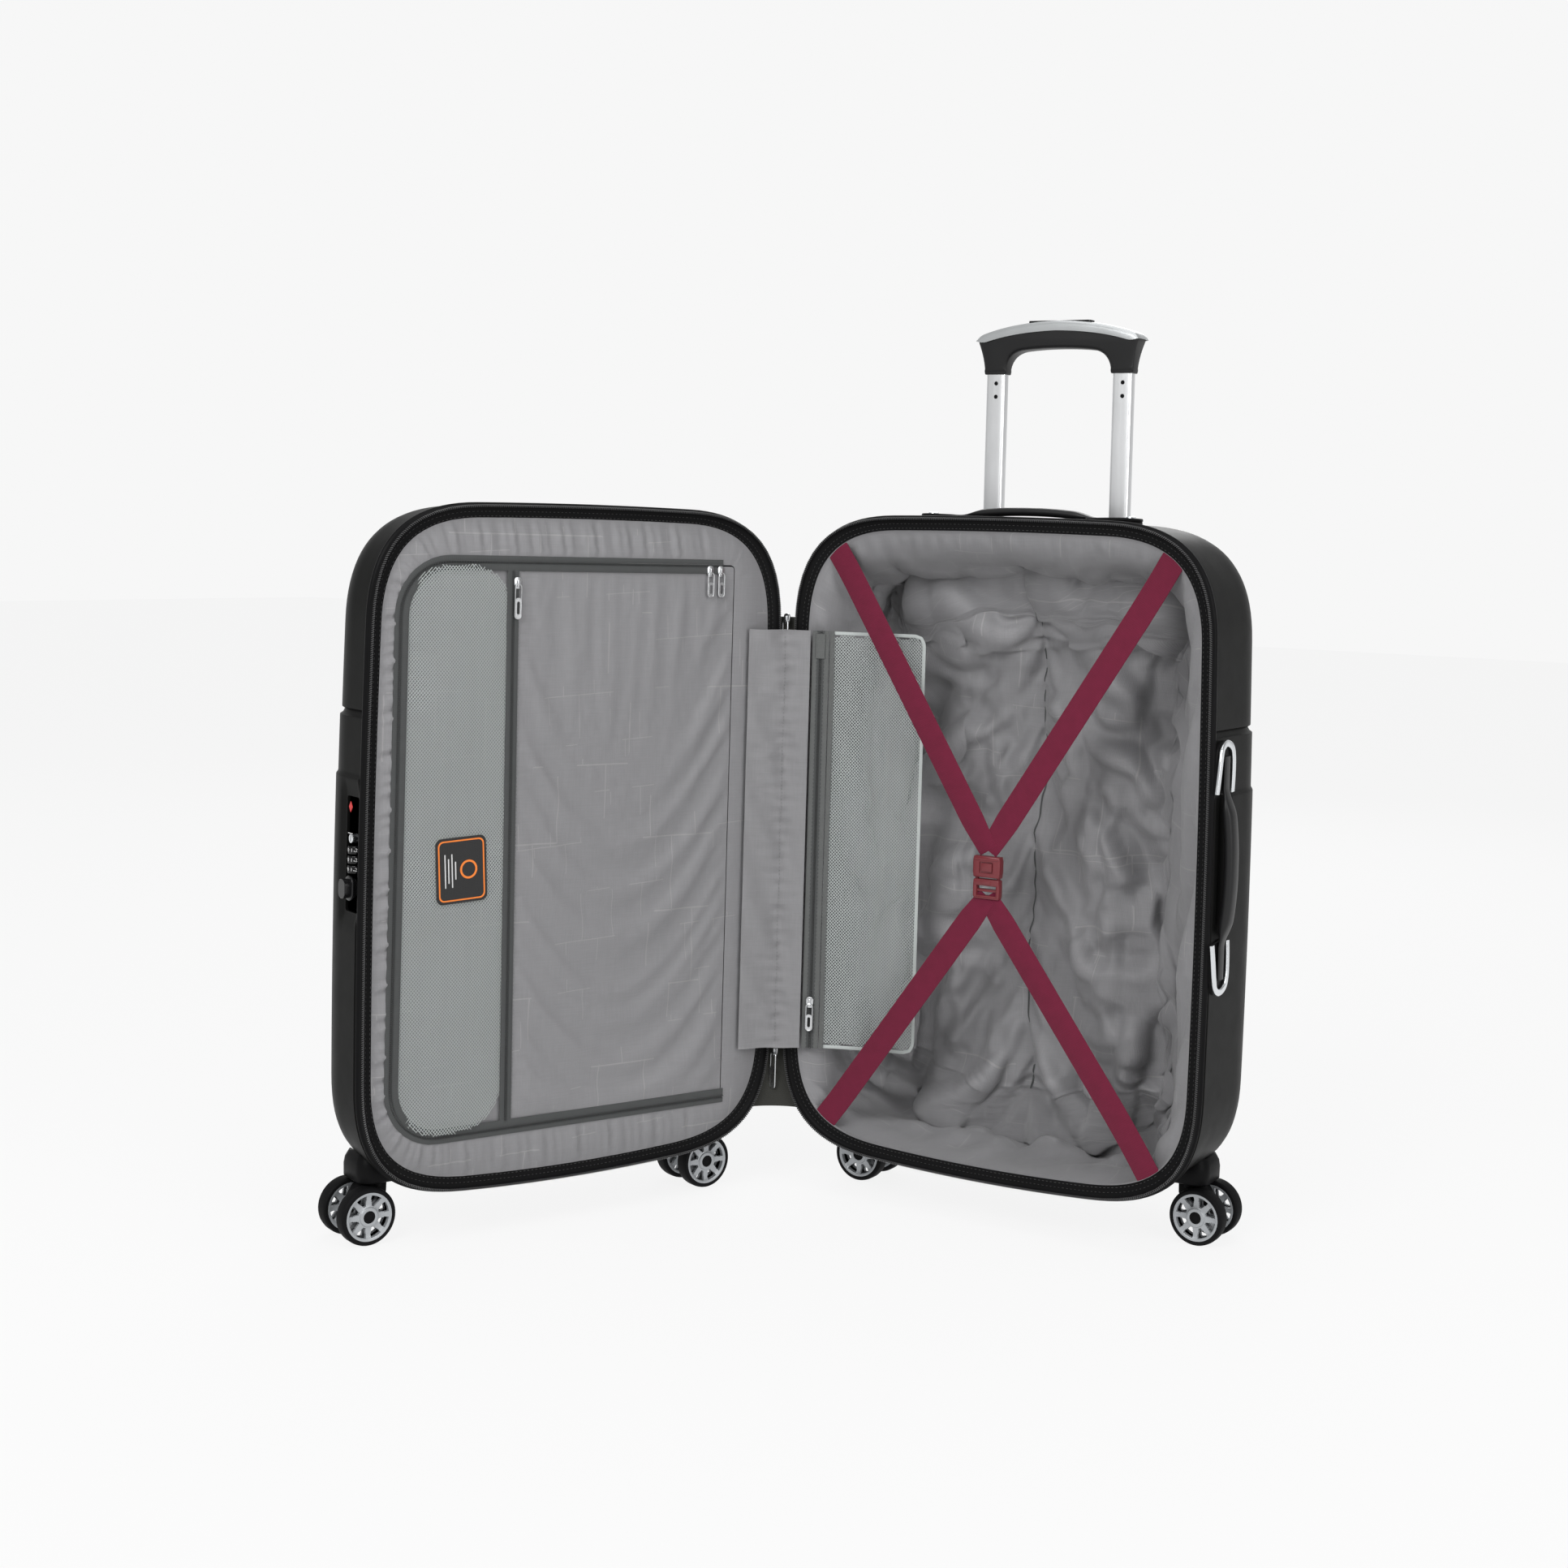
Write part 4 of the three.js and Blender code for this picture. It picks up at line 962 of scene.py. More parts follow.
def net(shape, inside, bounds, pitch, surface, thread, step=3.2):
    """Two families of slanted threads crossing on a surface, kept inside an outline."""
    (a0, a1), (b0, b1) = bounds
    slant = 1.15
    for way in (1, -1):
        span = (b1 - b0) + slant * (a1 - a0)
        for k in range(int(span / pitch) + 1):
            offset_b = b0 + k * pitch - (slant * (a1 - a0) if way > 0 else 0)
            a = np.arange(a0, a1 + 0.01, step)
            b = offset_b + way * slant * (a - a0)
            keep = inside(a, b)
            if keep.sum() < 3:
                continue
            first, last = np.flatnonzero(keep)[[0, -1]]
            a, b = a[first:last + 1], b[first:last + 1]
            line = surface(a, b)
            line[:, 1] += way * 0.12
            sweep(shape, line, (0, 0, 1.0), [(-thread, 0), (0, -thread * 0.7), (thread, 0), (0, thread * 0.7)])
    return shape


def in_round_rect(x0, x1, z0, z1, r):
    def inside(a, b):
        dx = np.maximum(np.maximum(x0 + r - a, a - x1 + r), 0)
        dz = np.maximum(np.maximum(z0 + r - b, b - z1 + r), 0)
        return (a >= x0) & (a <= x1) & (b >= z0) & (b <= z1) & (dx ** 2 + dz ** 2 <= r * r)
    return inside


LABEL = (347.5, 334)


def net_level(a, b):
    slack = np.clip(np.sin((a - NET["inner"]) / 100 * math.pi), 0, 1)
    w = 3.2 - slack * (2.3 + 2.0 * np.sin((b + 0.9 * a) / 31) * np.sin(b / 57))
    label = np.exp(-((a - LABEL[0]) / 36) ** 4 - ((b - LABEL[1]) / 42) ** 4)
    return np.column_stack([a, w * (1 - label) + 2.5 * label, b])


lattice = Shape()
net(lattice, in_round_rect(NET["inner"] - 3, NET["outer"] + 7, NET["bottom"] - 7, NET["top"] + 7, 45),
    ((NET["inner"] - 3, NET["outer"] + 7), (NET["bottom"] - 7, NET["top"] + 7)), 3.4, net_level, 0.33)
lattice_piece = make("divider_net", lattice, "lid", "divider", NET_CLOTH,
                     ["divider_mesh"], closed=True)

# the zip round the divider: one tape on each side of its coil
u_line = np.vstack([[(76, DOOR["top"])], [(200, DOOR["top"])], door_outline(0)[20:30][::-1], [(DOOR["outer"], 350)],
                    door_outline(0)[10:20][::-1], [(200, DOOR["bottom"])], [(60, DOOR["bottom"])]])
u_line, _ = evenly(u_line, 2.5)


def beside(line, shift, w):
    way = directions(line)
    normal = np.column_stack([-way[:, 1], way[:, 0]])
    return at_level(line + normal * shift, w), at_level(normal, 0)


outer_tape, inner_tape, u_coil = Shape(), Shape(), Shape()
path, side = beside(u_line, 3.0, 2.5)
sweep(outer_tape, path, side, strip_section(4.8, 0.7))
path, side = beside(u_line, -4.6, 2.5)
sweep(inner_tape, path, side, strip_section(7.0, 0.7))
path, side = beside(u_line, -0.3, 2.0)
coil(u_coil, path, side, 1.15, 1.6, 0.4, flatten=0.55)
for name, shape, body, look, slot in (("lid_zip_tape", outer_tape, "lid", TAPE, "grey_tape"),
                                      ("divider_zip_tape", inner_tape, "divider", TAPE, "grey_tape"),
                                      ("divider_zip_coil", u_coil, "divider", COIL_GREY, "grey_tape")):
    make(name, shape, "lid", body, look)

# the divider pocket's zip beside the net
p_line = np.array([(300.0, z) for z in np.linspace(601, 102, 200)])
p_line[:, 0] += np.interp(p_line[:, 1], (102, 601), (-3.0, 2.0))
pocket_zip, pocket_teeth, seam_thread = Shape(), Shape(), Shape()
for shift in (3.2, -3.2):
    path, side = beside(p_line, shift, 2.55)
    sweep(pocket_zip, path, side, strip_section(5.2, 0.7))
path, side = beside(p_line, 0, 2.05)
coil(pocket_teeth, path, side, 1.1, 1.6, 0.38, flatten=0.55)
for shift in (6.4, -6.4):
    path, _ = beside(p_line, shift, 2.4)
    stitches(seam_thread, path, (0, -1, 0), 2.4, 1.3, 0.25)
make("divider_pocket_tape", pocket_zip, "lid", "divider", TAPE)
make("divider_pocket_coil", pocket_teeth, "lid", "divider", COIL_GREY)
make("divider_pocket_stitching", seam_thread, "lid", "divider", THREAD)


# ---------- zip sliders ----------
def slider(shape, x, y, z, wide, pull, lean=0.0):
    """A slider facing -y at (x, y, z) with a looped pull hanging below it."""
    h = wide / 2
    body = np.array([(-h * 0.55, -5), (h * 0.55, -5), (h * 0.95, -1), (h, 3.2), (h * 0.7, 5), (0, 5.6), (-h * 0.7, 5),
                     (-h, 3.2), (-h * 0.95, -1)]) + (x, z)
    shape.loft(slab_loops(body, y - 1.4, y + 0.4, 0.5, 2))
    block(shape, x - h * 0.28, x + h * 0.28, y - 2.9, y - 1.2, z - 3.6, z + 3.4, 0.5)
    top, low = z - 1.0, z - 4.0 - pull
    middle = (top + low) / 2
    loop = round_rect(x - h * 0.86, x + h * 0.86, low, top, h * 0.8, 6)
    ring = np.column_stack([loop[:, 0], y - 2.6 + lean * (loop[:, 1] - top), loop[:, 1]])
    sweep(shape, ring, (0, 1.0, 0), circle(0, 0, 0.62, 8), closed=True)
    tab = round_rect(x - h * 0.86, x + h * 0.86, low, middle + pull * 0.12, h * 0.8, 5)
    hole = round_rect(x - h * 0.4, x + h * 0.4, low + pull * 0.14, middle, h * 0.38, 5)
    loops = [np.column_stack([edge[:, 0], level + lean * (edge[:, 1] - top), edge[:, 1]])
             for edge, level in ((tab, y - 3.1), (tab, y - 2.1), (hole, y - 2.1), (hole, y - 3.1))]
    shape.loft(loops, closed=True)
    return shape


for name, x, y, z, pull, body in (("divider_slider_upper", 79, 2.2, 603, 20, "divider"),
                                  ("divider_slider_lower", 91, 2.2, 603, 20, "divider"),
                                  ("divider_pocket_slider", 298, 2.2, 590, 28, "divider_pocket_slider")):
    make(name + "_metal", slider(Shape(), x, y, z, 7.4, pull), "lid", body, ZIP_METAL, [name])

# ---------- hinge flap, hinge cloth and the base's mesh pocket ----------
FLAP_Z = (140, 548)
turned = Matrix.Rotation(LID_TURN, 2) @ Vector((-46, -1.6))
FLAP_ENDS = np.array([(turned.x, turned.y), (27.0, -0.5)])


def flap():
    nu, nz = 34, 150
    t = np.linspace(0, 1, nu)
    seam_at = 0.62
    chord = FLAP_ENDS[0] * (1 - t)[:, None] + FLAP_ENDS[1] * t[:, None]
    across = FLAP_ENDS[1] - FLAP_ENDS[0]
    back = np.array([-across[1], across[0]]) / np.linalg.norm(across)
    dip = 5.0 * np.where(t < seam_at, t / seam_at, (1 - t) / (1 - seam_at)) ** 1.3
    z = np.linspace(*FLAP_Z, nz)
    rng = np.random.default_rng(21)
    phase = np.cumsum(rng.normal(0, 0.25, nz))
    near = np.exp(-np.abs(t - seam_at) / 0.12)
    ripple = (np.sin(z[None, :] / 1.9 + phase[None, :]) * 1.3 * near[:, None]
              + 1.9 * np.sin(z[None, :] / 13 + 9 * t[:, None] + phase[None, :]) * np.sin(math.pi * t)[:, None] ** 0.7)
    ripple -= 0.9 * np.exp(-((t - seam_at) / 0.02) ** 2)[:, None]
    plan = chord[:, None, :] + back * (dip[:, None] + ripple)[..., None]
    return np.stack([plan[..., 0], plan[..., 1], np.broadcast_to(z, (nu, nz))], -1), np.stack(
        np.meshgrid(t * 62, z, indexing="ij"), -1)


points, flat = flap()
faces = face_inwards(points.reshape(-1, 3), sheet_faces(*points.shape[:2]), (0, -400, MID_Z))
flap_piece = make("hinge_flap_cloth", Shape().add(points, faces, flat=flat), "base", "base", SATIN_PLAIN,
                  ["hinge_flap"], 80, False, ride=False)
thicken(flap_piece, 0.7, 80)


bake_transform(flap_piece)

# the stitches down the fold of the flap
flap_seam = Shape()
line = points[20, 2:-2]
stitches(flap_seam, line + (0.3, -0.5, 0), (0.7, -0.7, 0), 2.2, 1.4, 0.25)

turn = np.radians(np.linspace(52, 198, 26))
z = np.linspace(80, 560, 84)
# above and below, the rims curve away from the hinge and the cloth widens to reach them
edge = outline(0, RIM_SIDE, 30, 40)[0]
away = (WIDTH / 2 - np.interp(z - MID_Z, edge[:, 1], edge[:, 0]))[None, :]
share = ((turn - turn[0]) / (turn[-1] - turn[0]))[:, None]
radius = 6.4 + 0.25 * np.sin(z / 9)[None, :] * np.sin((turn[:, None] - turn[0]) * 1.2)
points = np.stack([radius * np.cos(turn)[:, None] + away * (1 - share * (1 + math.cos(LID_TURN))),
                   radius * np.sin(turn)[:, None] - away * share * math.sin(LID_TURN),
                   np.broadcast_to(z, (26, 84))], -1)
hinge = make("hinge_cloth", Shape().add(points, sheet_faces(26, 84),
             flat=np.stack(np.meshgrid(turn * 6.4, z, indexing="ij"), -1)), "base", "base", BLACK_CLOTH,
             ["hinge_fabric"], 80, False, ride=False)
thicken(hinge, 1.2, 80)
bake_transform(hinge)

POCKET = {"x0": 27.4, "y0": 3.2, "x1": 131.0, "y1": 40.0, "z0": 141, "z1": 547}


def pocket_level(x, z):
    """The pocket's slanting face, pulled slack away from its top corner."""
    share = (x - POCKET["x0"]) / (POCKET["x1"] - POCKET["x0"])
    slack = 3.2 * np.sin(math.pi * np.clip(share, 0, 1)) * (0.7 + 0.3 * np.sin(z / 60))
    return POCKET["y0"] + share * (POCKET["y1"] - POCKET["y0"]) + slack


def on_pocket(a, b):
    return np.column_stack([a, pocket_level(a, b), b])


lattice = Shape()
net(lattice, in_round_rect(43, 130.5, 143, 545, 7), ((43, 130.5), (143, 545)), 3.2, on_pocket, 0.33)
pocket_net = make("pocket_net", lattice, "base", "base", NET_CLOTH, ["pocket_mesh"])

binding = Shape()
edge, _ = evenly(np.vstack([[(44, 546)], [(122, 546)], [(128, 544)], [(130.6, 538)], [(130.6, 150)], [(128, 144)],
                            [(122, 142)], [(44, 142)]]), 3.0)
edge_path = on_pocket(edge[:, 0], edge[:, 1])
way = directions(edge_path)
sweep(binding, edge_path, np.cross(way, np.array((0.33, -0.94, 0))), strip_section(3.4, 1.1, 0.5))
make("pocket_binding", binding, "base", "base", NET_CLOTH)

SLANT = np.array([POCKET["x1"] - POCKET["x0"], POCKET["y1"] - POCKET["y0"], 0.0])
SLANT /= np.linalg.norm(SLANT)
FACING = np.array([SLANT[1], -SLANT[0], 0.0])


def pocket_line(x, proud, z0=POCKET["z1"] + 1, z1=POCKET["z0"] - 1, count=140):
    z = np.linspace(z0, z1, count)
    level = POCKET["y0"] + (x - POCKET["x0"]) * SLANT[1] / SLANT[0]
    return np.column_stack([np.full(count, float(x)), np.full(count, level), z]) + FACING * proud


band, teeth, threads, tab = Shape(), Shape(), Shape(), Shape()
sweep(band, pocket_line(29.6, 0.3), SLANT, strip_section(5.0, 0.8))
sweep(band, pocket_line(40.4, 0.3), SLANT, strip_section(5.2, 0.8))
sweep(band, pocket_line(45.6, 0.5), SLANT, strip_section(4.2, 0.9))
coil(teeth, pocket_line(35, 0.9), np.broadcast_to(SLANT, (140, 3)), 1.15, 1.6, 0.4, flatten=0.55)
for x in (31.6, 38.4, 42.6, 46.9):
    stitches(threads, pocket_line(x, 1.0), FACING, 2.4, 1.4, 0.24)
make("pocket_zip_tape", band, "base", "base", BINDING, ["pocket_band"])
strip = Shape()
for x in (32.8, 37.2):
    sweep(strip, pocket_line(x, 0.5), SLANT, strip_section(3.2, 0.6))
make("pocket_zip_edges", strip, "base", "base", TAPE)
make("pocket_zip_coil", teeth, "base", "base", COIL_GREY)
make("pocket_stitching", threads, "base", "base", THREAD)
level = pocket_line(35, 1.6, 545, 521, 2)
sweep(tab, level, SLANT, strip_section(9.0, 0.8))
make("pocket_zip_tab", tab, "base", "base", BINDING)

facing_pocket = PLACE["base"] @ Matrix.Translation((0.0353, (POCKET["y0"] + 7.6 * SLANT[1] / SLANT[0] - 2.2) / 1000, 0))
facing_pocket = facing_pocket @ Matrix.Rotation(math.atan2(SLANT[1], SLANT[0]), 4, "Z")
make("pocket_slider_metal", slider(Shape(), 0, 0, 185, 7.4, 23), facing_pocket, "pocket_slider", ZIP_METAL,
     ["pocket_slider"])
facing_hinge = PLACE["base"] @ Matrix.Rotation(-HEADING + 0.25, 4, "Z")
for name, z, pull in (("top", 558, 20), ("bottom", 133, 32)):
    make(f"main_zip_{name}_metal", slider(Shape(), 0, -0.6, z, 8.2, pull), facing_hinge, "base", ZIP_METAL,
         [f"main_zip_slider_{name}"])

# ---------- straps and buckle ----------
BUCKLE_X, BUCKLE_Y = MID_X - 4, 14.5


def strap(end_x, end_z, near_z, layer):
    """The line of a strap from its seam at the lining's edge to the buckle."""
    a, b = np.array((end_x, end_z)), np.array((BUCKLE_X, near_z))
    way = (b - a) / np.linalg.norm(b - a)
    edge = loop_of(outline(13.5, RIM_SIDE, 12, 40))
    near = [np.dot(p - a, way) for p in edge if abs(np.cross(way, p - a)) < 6 and np.dot(p - b, way) < 0]
    start = a + way * (np.mean(near) - 3)
    length = np.linalg.norm(b - start)
    spots = [(0, 8.2), (9, 9.2), (26, 11.6), (60, 12 + layer), (length * 0.6, 12.6 + layer),
             (length - 30, 13 + layer), (length - 8, 14.2 + layer * 0.3), (length, BUCKLE_Y)]
    run = np.linspace(0, length, 60)
    w = np.interp(run, [s for s, _ in spots], [v for _, v in spots])
    w = np.convolve(np.pad(w, 2, "edge"), np.ones(5) / 5, "valid")
    line = start + way[None, :] * run[:, None]
    side = np.array((way[1], 0, -way[0]))
    return np.column_stack([line[:, 0], w, line[:, 1]]), side


for name, end_x, end_z, near_z, layer in (("strap_upper_inner", MID_X - 185, 645, 350, 0.0),
                                          ("strap_upper_outer", MID_X + 185, 645, 350, 1.6),
                                          ("strap_lower_inner", MID_X - 185, 52, 307, 0.0),
                                          ("strap_lower_outer", MID_X + 185, 52, 307, 1.6)):
    path, side = strap(end_x, end_z, near_z, layer)
    narrow = np.interp(np.linspace(0, 1, len(path)), (0, 0.9, 1), (1, 1, 0.8))
    section = strip_section(24, 1.5, 0.6)
    loops = [p + side * section[:, :1] * share + np.array((0, 1, 0)) * section[:, 1:]
             for p, share in zip(path, narrow)]
    lengths = np.linalg.norm(path - path[0], axis=1)
    flat = np.stack([np.broadcast_to(section[None, :, 0], (len(path), len(section))),
                     np.broadcast_to(lengths[:, None], (len(path), len(section)))], -1)
    shape = Shape().loft(loops, flat=flat)
    lower = "lower" in name
    piece = make(name + "_webbing", shape, "base", "base", WEBBING, [name], 50, ride=not lower)
    if lower:
        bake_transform(piece)

x, y = BUCKLE_X, BUCKLE_Y
socket = Shape()
body = np.array([(-13.2, 325), (13.2, 325), (14.2, 330), (14.2, 341), (13.0, 345), (-13.0, 345), (-14.2, 341),
                 (-14.2, 330)]) + (x, 0)
socket.loft(slab_loops(body, y - 4.6, y + 4.6, 1.6, 3))
for side in (-1, 1):
    block(socket, x + side * 11.6 - 1.9, x + side * 11.6 + 1.9, y - 3.4, y + 3.4, 343, 352, 1.2)
block(socket, x - 13.4, x + 13.4, y - 3.2, y + 3.2, 349.2, 352.6, 1.2)
block(socket, x - 13, x + 13, y - 5.2, y - 4, 341.4, 343.2, 0.5)
obj = make("buckle_socket_red", socket, "base", "base", RED, ["buckle_socket"])
hole = Shape()
block(hole, x - 7.2, x + 7.2, y - 7, y - 3.0, 329, 340, 0.6)
carve(obj, hole, "base")
inner = Shape()
block(inner, x - 5.8, x + 5.8, y - 4.2, y - 2.4, 330.4, 338.6, 0.7)
clip = Shape()
block(clip, x - 13.6, x + 13.6, y - 4.2, y + 4.2, 317.2, 323.6, 1.4)
for side in (-1, 1):
    block(clip, x + side * 11.9 - 2.0, x + side * 11.9 + 2.0, y - 3.8, y + 3.8, 306, 321, 1.3)
block(clip, x - 13.6, x + 13.6, y - 3.2, y + 3.2, 304.8, 308.2, 1.2)
block(clip, x - 13.6, x + 13.6, y - 2.2, y + 3.4, 311.4, 314, 0.9)
block(clip, x - 5, x + 5, y - 4.8, y - 3.6, 318.6, 322.4, 0.5)
for side in (-1, 1):
    block(clip, x + side * 11 - 1.4, x + side * 11 + 1.4, y - 2, y + 2, 322, 338, 0.8)
make("buckle_tongue", inner, "base", "base", RED)
make("buckle_clip_red", clip, "base", "buckle_clip", RED, ["buckle_clip"])


# ---------- pull handle ----------
def tube_shape(x, wide, deep, wall, z0, z1, r=3.4):
    outer, inner = (centred(x, TUBE_Y, wide / 2 - gap, deep / 2 - gap, r - gap * 0.8, 6) for gap in (0, wall))
    return Shape().loft(ring_loops(outer, inner, z0, z1), closed=True)


BUTTONS_Z = (795, 782)
for name, x in TUBES.items():
    shape = tube_shape(x, 20.4, 11.4, 1.4, 265, 804.7)
    upper = make(f"upper_tube_{name}", shape, "base", "handle_upper", ALUMINIUM,
                 [f"handle_upper_tube_{name}"])
    hole = Shape()
    for z in BUTTONS_Z:
        rod(hole, "y", 2.1, TUBE_Y - 9, TUBE_Y - 3, x + 1.2, z, 0.2, 16)
    carve(upper, hole, "base")
    make(f"middle_tube_{name}", tube_shape(x, 24, 15, 1.4, 70, 610, 4.2), "base", "handle_middle", ALUMINIUM,
         [f"handle_middle_tube_{name}"])
    pins = Shape()
    for z in BUTTONS_Z:
        rod(pins, "y", 1.9, TUBE_Y - 5.0, TUBE_Y - 3.4, x + 1.2, z, 0.2, 16)
    make(f"tube_buttons_{name}", pins, "base", "handle_upper", TRIM)


def grip_under(n):
    """The lower edge of the grip's arch from the middle to the right leg, (x, z)."""
    return np.vstack([bezier([(0, 828.5), (22, 828.5), (38, 826.5)], np.linspace(0, 1, n)),
                      bezier([(38, 826.5), (55.5, 824), (56, 805)], np.linspace(0, 1, n)[1:])])


def both_sides(right):
    """A run from the middle to the right, and its mirror image, as one run from left to right."""
    return np.vstack([(right * (-1, 1))[::-1], right[1:]]) + (MID_X, 0)


# the black body: an arch flaring out from the collars to the tips, under a silver cover
body_out = np.vstack([bezier([(0, 853.6), (44, 852.8), (78, 842.0)], np.linspace(0, 1, 16)),
                      bezier([(78, 842.0), (86.4, 839.0), (84.6, 834)], np.linspace(0, 1, 6))[1:],
                      bezier([(84.6, 834), (80, 822), (79, 805)], np.linspace(0, 1, 10))[1:]])
arch = np.vstack([both_sides(body_out)[::-1], both_sides(grip_under(10))])
arch = arch[np.append(True, np.linalg.norm(np.diff(arch, axis=0), axis=1) > 0.01)]
grip = Shape()
loops = slab_loops(arch, TUBE_Y - 12.0, TUBE_Y + 12.0, 4.0, 5)
for loop in loops:
    loop[:, 1] = TUBE_Y + (loop[:, 1] - TUBE_Y) * (0.62 + 0.38 * ramp(loop[:, 2], 806, 840))
grip.loft(loops)
for x in TUBES.values():
    block(grip, x - 11.4, x + 11.4, TUBE_Y - 7.0, TUBE_Y + 7.0, 803.8, 812, 1.0, axis="z")
grip_piece = make("grip_body", grip, "base", "handle_upper", GRIP, ["handle_grip"], 50)
cover_top = both_sides(np.vstack([bezier([(0, 855.6), (46, 854.6), (79, 843.6)], np.linspace(0, 1, 22)),
                                  bezier([(79, 843.6), (86.4, 840.6), (86.2, 836.6)], np.linspace(0, 1, 6))[1:]]))
cover_low = both_sides(np.vstack([bezier([(0, 845.4), (44, 844.4), (74, 835.6)], np.linspace(0, 1, 22)),
                                  bezier([(74, 835.6), (79, 834), (86.2, 836.2)], np.linspace(0, 1, 6))[1:]]))
shell_loops = []
for y, drop in ((-13.0, 1.0), (-12.9, 0.55), (-12.2, 0.25), (-10.4, 0.06), (-6, 0), (0, 0), (6, 0),
                (10.4, 0.06), (12.2, 0.25), (12.9, 0.55), (13.0, 1.0)):
    edge = cover_top * (1 - drop) + cover_low * drop
    shell_loops.append(at_level(edge, TUBE_Y + y))
cover = Shape()
cover.add(np.array(shell_loops), sheet_faces(len(shell_loops), len(cover_top)))
cover_piece = make("grip_cover", cover, "base", "handle_upper", COVER, (), 40, False)
thicken(cover_piece, 1.1, 40)
hole = Shape()
slot = centred(MID_X, TUBE_Y, 33, 6.6, 3, 5)
hole.loft(slab_loops(slot, 851.4, 870, 0.4, 1, "z"))
carve(cover_piece, hole, "base")
carve(grip_piece, hole, "base")
inside = centred(MID_X, TUBE_Y, 32, 5.6, 2.6, 5)
make("grip_button_well", Shape().loft(ring_loops(slot, inside, 851.6, 855.6), closed=True), "base", "handle_upper",
     GLOSS)
button = Shape()
button.loft(slab_loops(centred(MID_X, TUBE_Y, 29.4, 4.9, 2.4, 5), 851.5, 854.2, 0.7, 2, "z"))
make("grip_button", button, "base", "handle_button", GLOSS, ["handle_button"])
ridge = Shape()
for k in range(-3, 4):
    block(ridge, MID_X + 3 * k - 0.6, MID_X + 3 * k + 0.6, TUBE_Y - 3.6, TUBE_Y + 3.6, 853.9, 854.8, 0.3, axis="z")
make("grip_button_ribs", ridge, "base", "handle_button", COVER)

cup = Shape()
loop = round_rect(MID_X - CUP["half"], MID_X + CUP["half"], CUP["front"], CUP["back"], 6, 6)
cup.loft(slab_loops(loop, CUP["bottom"], 690, 1, 2, "z"))
cup_piece = make("handle_cup", cup, "base", "base", TRIM, ["handle_housing"])
hole = Shape()
hole.loft(slab_loops(round_rect(MID_X - 93, MID_X + 93, CUP["front"] + 2, CUP["back"] - 1.6, 6, 6), 611.7, 700, 1, 2,
                     "z"))
for x in TUBES.values():
    block(hole, x - 12.7, x + 12.7, TUBE_Y - 8.3, TUBE_Y + 8.3, 590, 620, 2, axis="z")
above = Shape()
rows_y = np.linspace(98, 160, 32)
side_loop = np.vstack([np.column_stack([rows_y, TOP_Z - 3.4 - back_fall(rows_y)]), [(160, 720), (98, 720)]])
above.loft([at_level(side_loop, x, "x") for x in (MID_X - 125, MID_X + 125)])
carve(cup_piece, above, "base")
carve(cup_piece, hole, "base")
lip = Shape()
loop = round_rect(MID_X - CUP["half"] - 1, MID_X + CUP["half"] + 1, CUP["front"] - 1, CUP["back"] + 1, 7, 6)
fall = back_fall(loop[:, 1]) + TOP_BULGE * ((loop[:, 0] - MID_X) / (WIDTH / 2 - CORNER)) ** 2
ring = np.column_stack([loop, TOP_Z - 2.0 - fall])
sweep(lip, evenly(ring, 4, True)[0], (0, 0, 1.0), circle(0, 0, 1.5, 10), closed=True)
make("handle_cup_lip", lip, "base", "base", TRIM)
collars = Shape()
for x in TUBES.values():
    collars.loft(ring_loops(centred(x, TUBE_Y, 15.5, 10.5, 4, 5), centred(x, TUBE_Y, 12.6, 8.1, 3.6, 5), 611.5, 614.6),
                 closed=True)
make("handle_tube_collars", collars, "base", "base", TRIM)

# ---------- carry handles, drawn along x and standing on z = 0 ----------
STAND = {
    "top": PLACE["base"] @ Matrix.Translation((MID_X / 1000, 0.072, (TOP_Z - 3) / 1000)),
    "side": PLACE["base"] @ Matrix.Translation(((HINGE_GAP + WIDTH - 1.5) / 1000, 0.027, 0.355))
    @ Matrix.Rotation(math.pi / 2, 4, "Y"),
}


def handle_bracket(side, rise):
    """A U of flat metal, open towards the grip, holding the strap between its legs."""
    shape = Shape()
    path = spline([(67, -18.2, 4.6), (82, -17, 5.6), (98, -15, 6.2), (107.5, -11, 6.0), (111.5, 0, 5.4),
                   (107.5, 11, 6.0), (98, 15, 6.2), (82, 17, 5.6), (67, 18.2, 4.6)], 7)
    path *= (side, 1, rise)
    section = centred(0, 0, 3.2, 1.7, 1.3, 4)
    return sweep(shape, path, (0, 0, 1.0), section[:, ::-1])


def handle_foot(side, rise):
    shape = Shape()
    loop = np.array([(67, -20), (100, -17), (111, -11), (113.5, 0), (111, 11), (100, 17), (67, 20)]) * (side, 1)
    loop = spline(np.vstack([loop, loop[:1]]), 6)[:-1]
    shape.loft(slab_loops(loop, -7, 4.4 * rise, 1.5, 3, "z"))
    return shape


